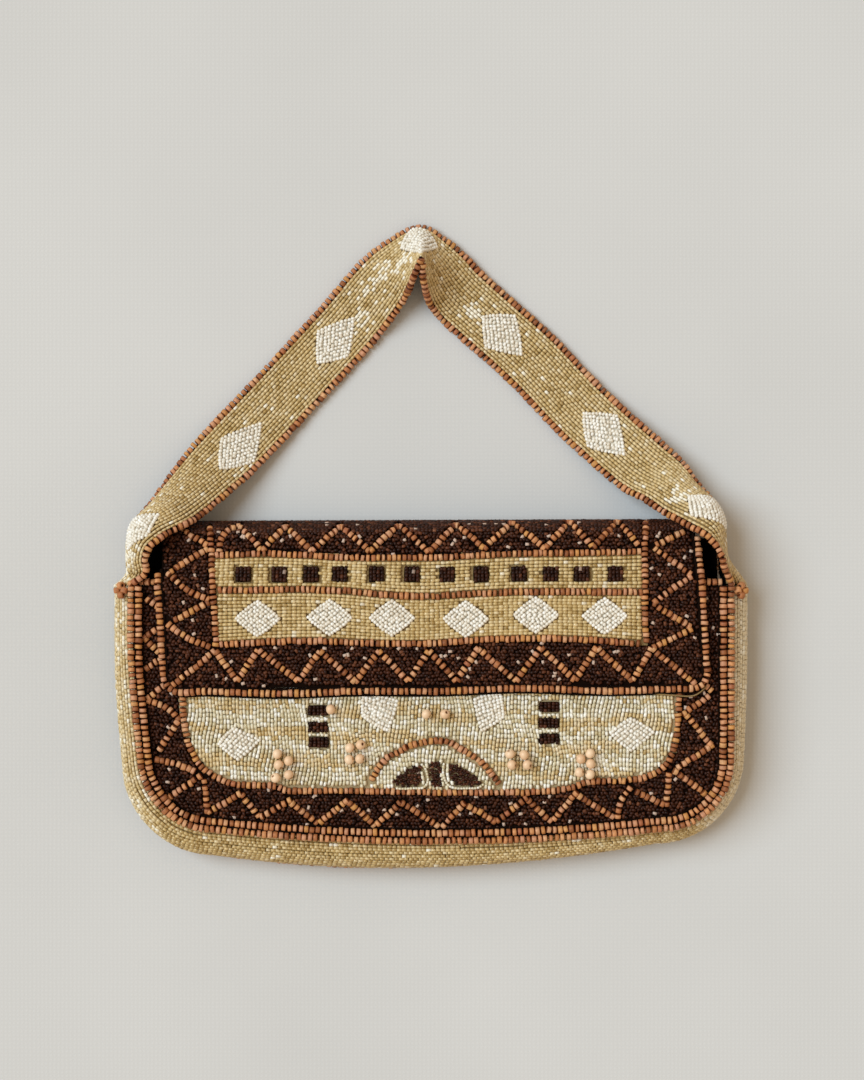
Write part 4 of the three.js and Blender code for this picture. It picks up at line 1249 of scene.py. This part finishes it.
# Gusset: strings of gold beads that run round the bag from one mouth corner to the other
GUSSET_STRINGS = 17
# How much lighter the gusset's right and left sides are: cream beads, and on the right also painted light
# against its shade
GUSSET_CREAM_AND_PAINTED_LIGHT = (1.0, 0.33)
gusset_strings = Strings()
fine = gusset_grid(60)
fine_out = grid_normals(fine, (0, -1, 0))
for k in range(GUSSET_STRINGS):
    share = (k + 0.5) / GUSSET_STRINGS
    steps = np.linalg.norm(np.diff(fine, axis=1), axis=2)
    length = np.concatenate([np.zeros((len(fine), 1)), np.cumsum(steps, 1)], 1)
    at = share * length[:, -1]
    index = np.array([np.searchsorted(row, a) for row, a in zip(length, at)]).clip(1, 60)
    rows = np.arange(len(fine))
    line, out = fine[rows, index], fine_out[rows, index]
    pitch = length[:, -1].mean() / GUSSET_STRINGS
    joined = np.column_stack([line - out * GLASS_RADIUS, out])
    steps = np.linalg.norm(np.diff(line, axis=0), axis=1)
    along_line = np.concatenate([[0], np.cumsum(steps)])
    count = int(along_line[-1] / GLASS_LENGTH)
    at = (np.arange(count) + rng.random()) * along_line[-1] / count
    at = at[at < along_line[-1] - 0.8]
    found = np.stack([np.interp(at, along_line, joined[:, c]) for c in range(6)], 1)
    ahead = np.stack([np.interp(at + 0.7, along_line, joined[:, c]) for c in range(3)], 1)
    middles, out = found[:, :3], unit(found[:, 3:])
    aside = smooth((np.abs(middles[:, 0]) - 108) / 16) * (share < 0.6)
    cream_and_painted_light = np.where(middles[:, 0] > 0, *GUSSET_CREAM_AND_PAINTED_LIGHT) * aside
    tone = np.clip(rng.normal(0.29, 0.18, len(middles)) + cream_and_painted_light, 0, 1)
    # More beads glint at the sides: painted highlights
    shine = 0.02 + 0.12 * aside
    gusset_strings.add(middles, unit(ahead - middles), out, GLASS_LENGTH * 0.98, pitch / 2 * 1.02, tone,
                       (rng.random(len(middles)) < shine) * 0.8)
gusset_strings.build("gusset_beads", PLAIN, gold_glass, "gold_beadwork", 0.09, 0.08)

# Back: straight strings of gold beads, in two pieces
left, right = (side_outline("back", side, BACK_TOP, EDGE_BEAD_RADIUS + 0.5) for side in ("left", "right"))
foot = np.stack(between("back", left[-1], right[-1], np.linspace(-0.98, 0.98, 60)), 1)
outline = np.concatenate([left[:, :2], foot, right[::-1, :2]])
for name, low, high in (("back_beads_lower", -20, 52), ("back_beads_upper", 52, BACK_TOP + 1)):
    strings = Strings()
    for y in np.arange(low, high, STRING_PITCH * 1.03):
        x = np.arange(-HALF_PANEL, HALF_PANEL, GLASS_LENGTH) + 1.2 * rng.random()
        xy = np.stack([x, np.full(len(x), y)], 1)
        xy = xy[inside_polygon(outline, xy)]
        if len(xy):
            strings.add(np.column_stack([xy, np.full(len(xy), GLASS_RADIUS)]), (1, 0, 0), (0, 0, -1),
                        GLASS_LENGTH * 0.98, GLASS_RADIUS, np.clip(rng.normal(0.45, 0.2, len(xy)), 0, 1))
    strings.build(name, BACKING, gold_glass, "gold_beadwork", 0.03, 0.03)

# Strap: strings of gold beads along it, with white diamonds
STRAP_STRINGS = 16
STRAP_DIAMONDS = [
    [(220, 468), (222, 437), (260, 422), (254, 459)],
    [(317, 361), (319.5, 330), (353, 319), (350.5, 354)],
    [(482, 317), (514, 318), (521, 354), (484.5, 346)],
    [(583, 415), (617.5, 416), (622, 451), (587, 444)],
    [(689.5, 497), (719, 499.5), (726, 527.5), (692.5, 516)],
    [(127, 549), (134, 519), (158, 514), (147, 536)],
    [(402, 248), (413, 225), (436, 246), (420, 252)],
]
strap_line = np.linspace(0, 1, 1601)
strap_middle = strap_point(strap_line, np.zeros_like(strap_line))
steps = np.linalg.norm(np.diff(strap_middle, axis=0), axis=1)
strap_length = np.concatenate([[0], np.cumsum(steps)])


def strap_place(along, across):
    """Places and normals on the strap from millimetres along its middle and across it."""
    t = np.interp(along, strap_length, strap_line)
    _, _, frame_normal, half, _ = strap_frame(t)
    v = np.clip(across / half, -1, 1)
    here = strap_point(t, v)
    ahead = strap_point(np.clip(t + 5e-4, 0, 1), v) - strap_point(np.clip(t - 5e-4, 0, 1), v)
    aside = strap_point(t, v + 1e-3) - strap_point(t, v - 1e-3)
    out = unit(np.cross(unit(ahead), unit(aside)))
    out *= np.sign((out * frame_normal).sum(1, keepdims=True))
    return here, out


def strap_spot(x, y):
    """Where on the strap a pixel of the photograph falls: millimetres along its middle and across it."""
    look = REFERENCE_HEIGHT - strap[..., 2]
    scale = 1 / (PIXEL * (1 + look / (EYE_HEIGHT - REFERENCE_HEIGHT)))
    seen_x = FRAME_WIDTH / 2 + (strap[..., 0] - EYE_X) * scale
    seen_y = FRAME_HEIGHT / 2 - (strap[..., 1] - EYE_Y) * scale
    away = np.hypot(seen_x - x, seen_y - y) + 1000 * (strap_up[..., 2] < 0.05)
    row, column = np.unravel_index(np.argmin(away), away.shape)
    t = strap_t[row, column]
    half = strap_frame(np.array([t]))[3][0]
    return np.interp(t, strap_line, strap_length), strap_v[row, column] * half


patches = [np.array([strap_spot(x, y) for x, y in corners]) for corners in STRAP_DIAMONDS]
apex = np.argmax(strap_middle[:, 1])

strap_gold, strap_white = Strings(), Strings()
# Spots where more strap beads glint, as painted highlights: along, across, and their reaches along and across
SPARKLES = [(strap_length[apex] - 26, -3, 13, 6), (strap_length[apex] - 12, 3, 8, 5),
            (patches[1].mean(0)[0] + 14, 3, 7, 5), (patches[2].mean(0)[0] - 14, 0, 7, 4),
            (patches[4].mean(0)[0] - 14, 3, 9, 5), (patches[5].mean(0)[0] - 16, 0, 14, 9)]
for k in range(STRAP_STRINGS):
    share = ((k + 0.5) / STRAP_STRINGS) * 2 - 1
    line = strap_point(strap_line, np.full_like(strap_line, share))
    own_steps = np.linalg.norm(np.diff(line, axis=0), axis=1)
    own_length = np.concatenate([[0], np.cumsum(own_steps)])
    count = int(own_length[-1] / GLASS_LENGTH)
    at = (np.arange(count) + rng.random()) * own_length[-1] / count
    at = at[at < own_length[-1] - 1]
    t = np.interp(at, own_length, strap_line)
    _, _, _, half, _ = strap_frame(t)
    along = np.interp(t, strap_line, strap_length)
    across = share * half
    here, out = strap_place(along, across)
    ahead, _ = strap_place(along + 0.6, across)
    keep = ~in_patches(patches, np.stack([along, across], 1), PATCH_MARGIN)
    shine = np.full(len(t), 0.015)
    for place_along, place_across, reach_along, reach_across in SPARKLES:
        d = ((along - place_along) / reach_along) ** 2 + ((across - place_across) / reach_across) ** 2
        shine += 0.8 * np.exp(-2 * d)
    glint = (rng.random(len(t)) < shine) * 0.9
    radius = half / STRAP_STRINGS * 1.0
    tone = np.clip(rng.normal(0.46, 0.17, len(t)), 0, 1)
    strap_gold.add((here - out * radius[:, None])[keep], unit(ahead - here)[keep], out[keep],
                   GLASS_LENGTH * 0.99, radius[keep], tone[keep], glint[keep])
for corners in patches:
    places, headings = patch_beads(corners, WHITE_PITCH)
    here, out = strap_place(places[:, 0], places[:, 1])
    ahead, _ = strap_place(places[:, 0] + headings[:, 0] * 0.5, places[:, 1] + headings[:, 1] * 0.5)
    strap_white.add(here - out * (WHITE_RADIUS - 0.45), unit(ahead - here), out, WHITE_LENGTH, WHITE_RADIUS)
patch_cloth("strap_patch_cloth", [strap_place(*patch_grid(corners, 0.2).T) for corners in patches],
            ivory_ground, "gold_beadwork")
strap_gold.build("strap_gold_beads", GLASS, gold_glass, "gold_beadwork", 0.04)
strap_white.build("strap_white_beads", SEED, white_glass, "gold_beadwork", 0.1)

# Rows of wooden beads at the edges


def edge_row(strings, path, pitch=WOOD_PITCH):
    middles, along = resample(path, pitch)
    jitter = rng.normal(0, ROW_JITTER, middles.shape)
    strings.add(middles + jitter, along, (0, 0, 1), WOOD_LENGTH, EDGE_BEAD_RADIUS)


front_edge = Strings()
for aside in (-1, 1):
    reach = EDGE_BEAD_RADIUS + GAP / 2
    edge_row(front_edge, seam_points("front", aside * reach, EDGE_BEAD_RADIUS + GAP))
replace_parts(front_edge.build("front_edge_rows", WOOD, wood, "wood_beads", *ROW_WOBBLE),
            "front_edge_beads_inner", "front_edge_beads_outer")

back_edge = Strings()
edge_row(back_edge, seam_points("back", 2 * GAP, EDGE_BEAD_RADIUS + GAP - BACK_SEAM_HEIGHT))
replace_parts(back_edge.build("back_edge_row", WOOD, wood, "wood_beads", 0.05, 0.05), "back_edge_beads")

flap_edge = Strings()
reach = EDGE_BEAD_RADIUS + GAP
corner = FLAP_CORNER_RADIUS + reach
half = FLAP_WIDTH / 2 + reach
turn = np.linspace(0, math.pi / 2, 9)
side_y = np.concatenate([np.linspace(BACK_TOP, FLAP_EDGE_HEIGHT + FLAP_CORNER_RADIUS, 30)[:-1],
                         FLAP_EDGE_HEIGHT + FLAP_CORNER_RADIUS - corner * np.sin(turn)])
side_x = np.concatenate([np.full(29, half), half - corner * (1 - np.cos(turn))])
edge_x = np.concatenate([-side_x, np.linspace(-half + corner, half - corner, 100)[1:-1], side_x[::-1]])
edge_y = np.concatenate([side_y, np.full(98, FLAP_EDGE_HEIGHT - reach), side_y[::-1]])
on_hem = smooth((half - corner - np.abs(edge_x)) / 12) * (edge_y < FLAP_EDGE_HEIGHT)
short_wave, long_wave = (np.sin(edge_x / length + start) for length, start in HEM_WAVES)
edge_y += HEM_WAVE * short_wave * long_wave * on_hem
bare = int(np.argmax(edge_y < BARE_FROM))
edge_row(flap_edge, flap_place(edge_x, edge_y, 1.0)[bare:] + (0, 0, EDGE_BEAD_RADIUS - WALL))
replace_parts(flap_edge.build("flap_edge_row", WOOD, wood, "wood_beads", *ROW_WOBBLE), "flap_edge_beads")

strap_edge = Strings()
for v in (1, -1):
    edge = -1 if v > 0 else 0
    _, direction, normal, _, _ = strap_frame(strap_t[:, 0])
    root = 1 - smooth(strap_value("y", strap_t[:, 0]) / ROOT_REACH)[:, None]
    face = strap_up[:, edge]
    away = strap[:, edge] - strap[:, edge - v]
    away = unit(away - face * (away * face).sum(1, keepdims=True))
    away = unit(lerp(away, direction * v, root))
    out = unit(lerp(face, normal, root))
    proud = lerp(EDGE_BEAD_RADIUS - WALL, EDGE_BEAD_RADIUS, root)
    path = strap[:, edge] + away * (EDGE_BEAD_RADIUS - GAP) + out * proud
    path[[0, -1], 1] += EDGE_BEAD_RADIUS
    edge_row(strap_edge, path)
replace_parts(strap_edge.build("strap_edge_rows", WOOD, wood, "wood_beads", *ROW_WOBBLE),
            "strap_edge_beads_inner", "strap_edge_beads_outer")

# Seam cords: dark cords as painted shade in the seams beside and between the rows, and the flap's lining at
# its hem as a painted shadow line


def cords(name, lines, radius, material, slot, sides=6):
    """Round cords along lines of points, joined."""
    vertices, faces = [], []
    for line in lines:
        line = np.asarray(line, float)
        along = unit(np.gradient(line, axis=0))
        side = unit(np.cross(along, (0.0, 0.0, 1.0)) + 1e-6)
        up = np.cross(side, along)
        first = len(vertices)
        for angle in np.arange(sides) * 2 * math.pi / sides:
            vertices += list(line + radius * (side * math.cos(angle) + up * math.sin(angle)))
        count = len(line)
        for j in range(sides):
            a = first + j * count + np.arange(count - 1)
            b = first + (j + 1) % sides * count + np.arange(count - 1)
            faces += np.stack([a, b, b + 1, a + 1], 1).tolist()
        faces.append([first + j * count for j in reversed(range(sides))])
        faces.append([first + j * count + count - 1 for j in range(sides)])
    return finish_piece(mesh_object(name, np.array(vertices), faces), [material], slot)


FLAP_LIP = [(600, 693), (640, 692.5), (665, 694.5), (690, 696), (700, 692), (706, 686)]
hem_x = np.linspace(-half + corner, half - corner, 60)
hem_y = np.interp(hem_x, edge_x[35:-35], edge_y[35:-35])
hem = flap_place(hem_x, hem_y, 1.0) - (0, 0, WALL)
# Painted shade in the seams, and a painted shadow line under the flap's hem
cords("seam_shade_cords", [
    flap_place(edge_x * (1 - 1.7 / half), edge_y + 1.5, 1.0)[bare:] + (0, 0, EDGE_BEAD_RADIUS - WALL - 0.4),
    seam_points("front", 0, EDGE_BEAD_RADIUS + GAP - 0.8),
    seam_points("front", -2 * EDGE_BEAD_RADIUS - GAP, -0.6),
    *(strap[6:-6, edge] - strap_up[6:-6, edge] * WALL / 2 for edge in (0, -1)),
    hem + (0, -EDGE_BEAD_RADIUS, -0.2),
], SHADE_CORD_RADIUS, dark_ground, "dark_beadwork")
lip = photo_curve(FLAP_LIP, front_height)
cords("flap_lip", [raised(*lip.T, front_height(*lip.T) + 1.0)], LIP_RADIUS, gold_ground, "dark_beadwork")

# Knots: rings of wooden beads with their holes showing, darkened inside as painted shade
for side, station in (("left", 0), ("right", -1)):
    name = "bead_knot_" + side
    lo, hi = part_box(name)
    centre = np.array([(a + b) / 2 * 1000 for a, b in zip(lo, hi)]) + (0, PLAN_SHIFT, 0)
    section = gusset_grid(60)[station]
    k = int(60 * KNOT_PLACE)
    along = unit(section[k + 1] - section[k - 1])
    outwards = unit(np.array([-along[2], 0, abs(along[0])]) * (stations["out"][station][0], 1, 1))
    strings = Strings()
    for i in range(KNOT_BEADS):
        angle = 2 * math.pi * i / KNOT_BEADS
        spoke = along * math.cos(angle) + np.array([0, 1, 0]) * math.sin(angle)
        across = -along * math.sin(angle) + np.array([0, 1, 0]) * math.cos(angle)
        axis = unit(across + 0.3 * outwards)
        strings.add(centre + spoke * KNOT_REACH, axis, outwards, KNOT_BEAD_LENGTH, KNOT_BEAD_RADIUS)
    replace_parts(strings.build("knot_" + side, RING, wood, "wood_beads", 0.15, 0.05), name)

# Floor, light and camera


def floor_material():
    material, tree, shader = new_material("floor_canvas", 0.9)
    threads = crossed_threads(tree, 180.0, 1.5)
    clouds = ramp(tree, noise(tree, 5, 4), [(0.35, srgb(210, 210, 209)), (0.65, srgb(216, 216, 215))])
    woven = ramp(tree, threads, [(0.0, (0.965,) * 3), (1.0, (1.0,) * 3)])
    tree.links.new(mix(tree, 1.0, clouds, woven, "MULTIPLY"), shader.inputs["Base Color"])
    bump(tree, shader, threads, 0.1, 0.0004)
    return material


floor = mesh_object("floor", [(-2500, -2500, 0), (2500, -2500, 0), (2500, 2500, 0), (-2500, 2500, 0)],
                    [[0, 1, 2, 3]], None, False)
floor.data.materials.append(floor_material())


def sun(name, where, width, strength, colour):
    """Soft light from one side: where it comes from, and how wide it looks, in radians."""
    light = bpy.data.lights.new(name, "SUN")
    light.angle = width
    light.energy = strength
    light.color = colour
    lamp = bpy.data.objects.new(name, light)
    lamp.location = where
    lamp.rotation_euler = Vector(where).to_track_quat("Z", "Y").to_euler()
    bpy.context.scene.collection.objects.link(lamp)


sun("window", (-1.3, 0.45, 1.6), 0.7, 2.5, (0.73, 0.88, 1.0))
world = bpy.data.worlds.new("studio")
world.use_nodes = True
world.node_tree.nodes["Background"].inputs["Color"].default_value = (1.0, 0.8, 0.58, 1)
world.node_tree.nodes["Background"].inputs["Strength"].default_value = 0.56
bpy.context.scene.world = world
bpy.context.scene.view_settings.view_transform = "Standard"

camera_data = bpy.data.cameras.new("camera")
camera_data.sensor_width = 36
half_height = PIXEL * FRAME_HEIGHT / 2
camera_data.lens = camera_data.sensor_width / 2 * (EYE_HEIGHT - REFERENCE_HEIGHT) / half_height
camera = bpy.data.objects.new("camera", camera_data)
camera.location = to_frame([(EYE_X, EYE_Y, EYE_HEIGHT)])[0]
bpy.context.scene.collection.objects.link(camera)
bpy.context.scene.camera = camera
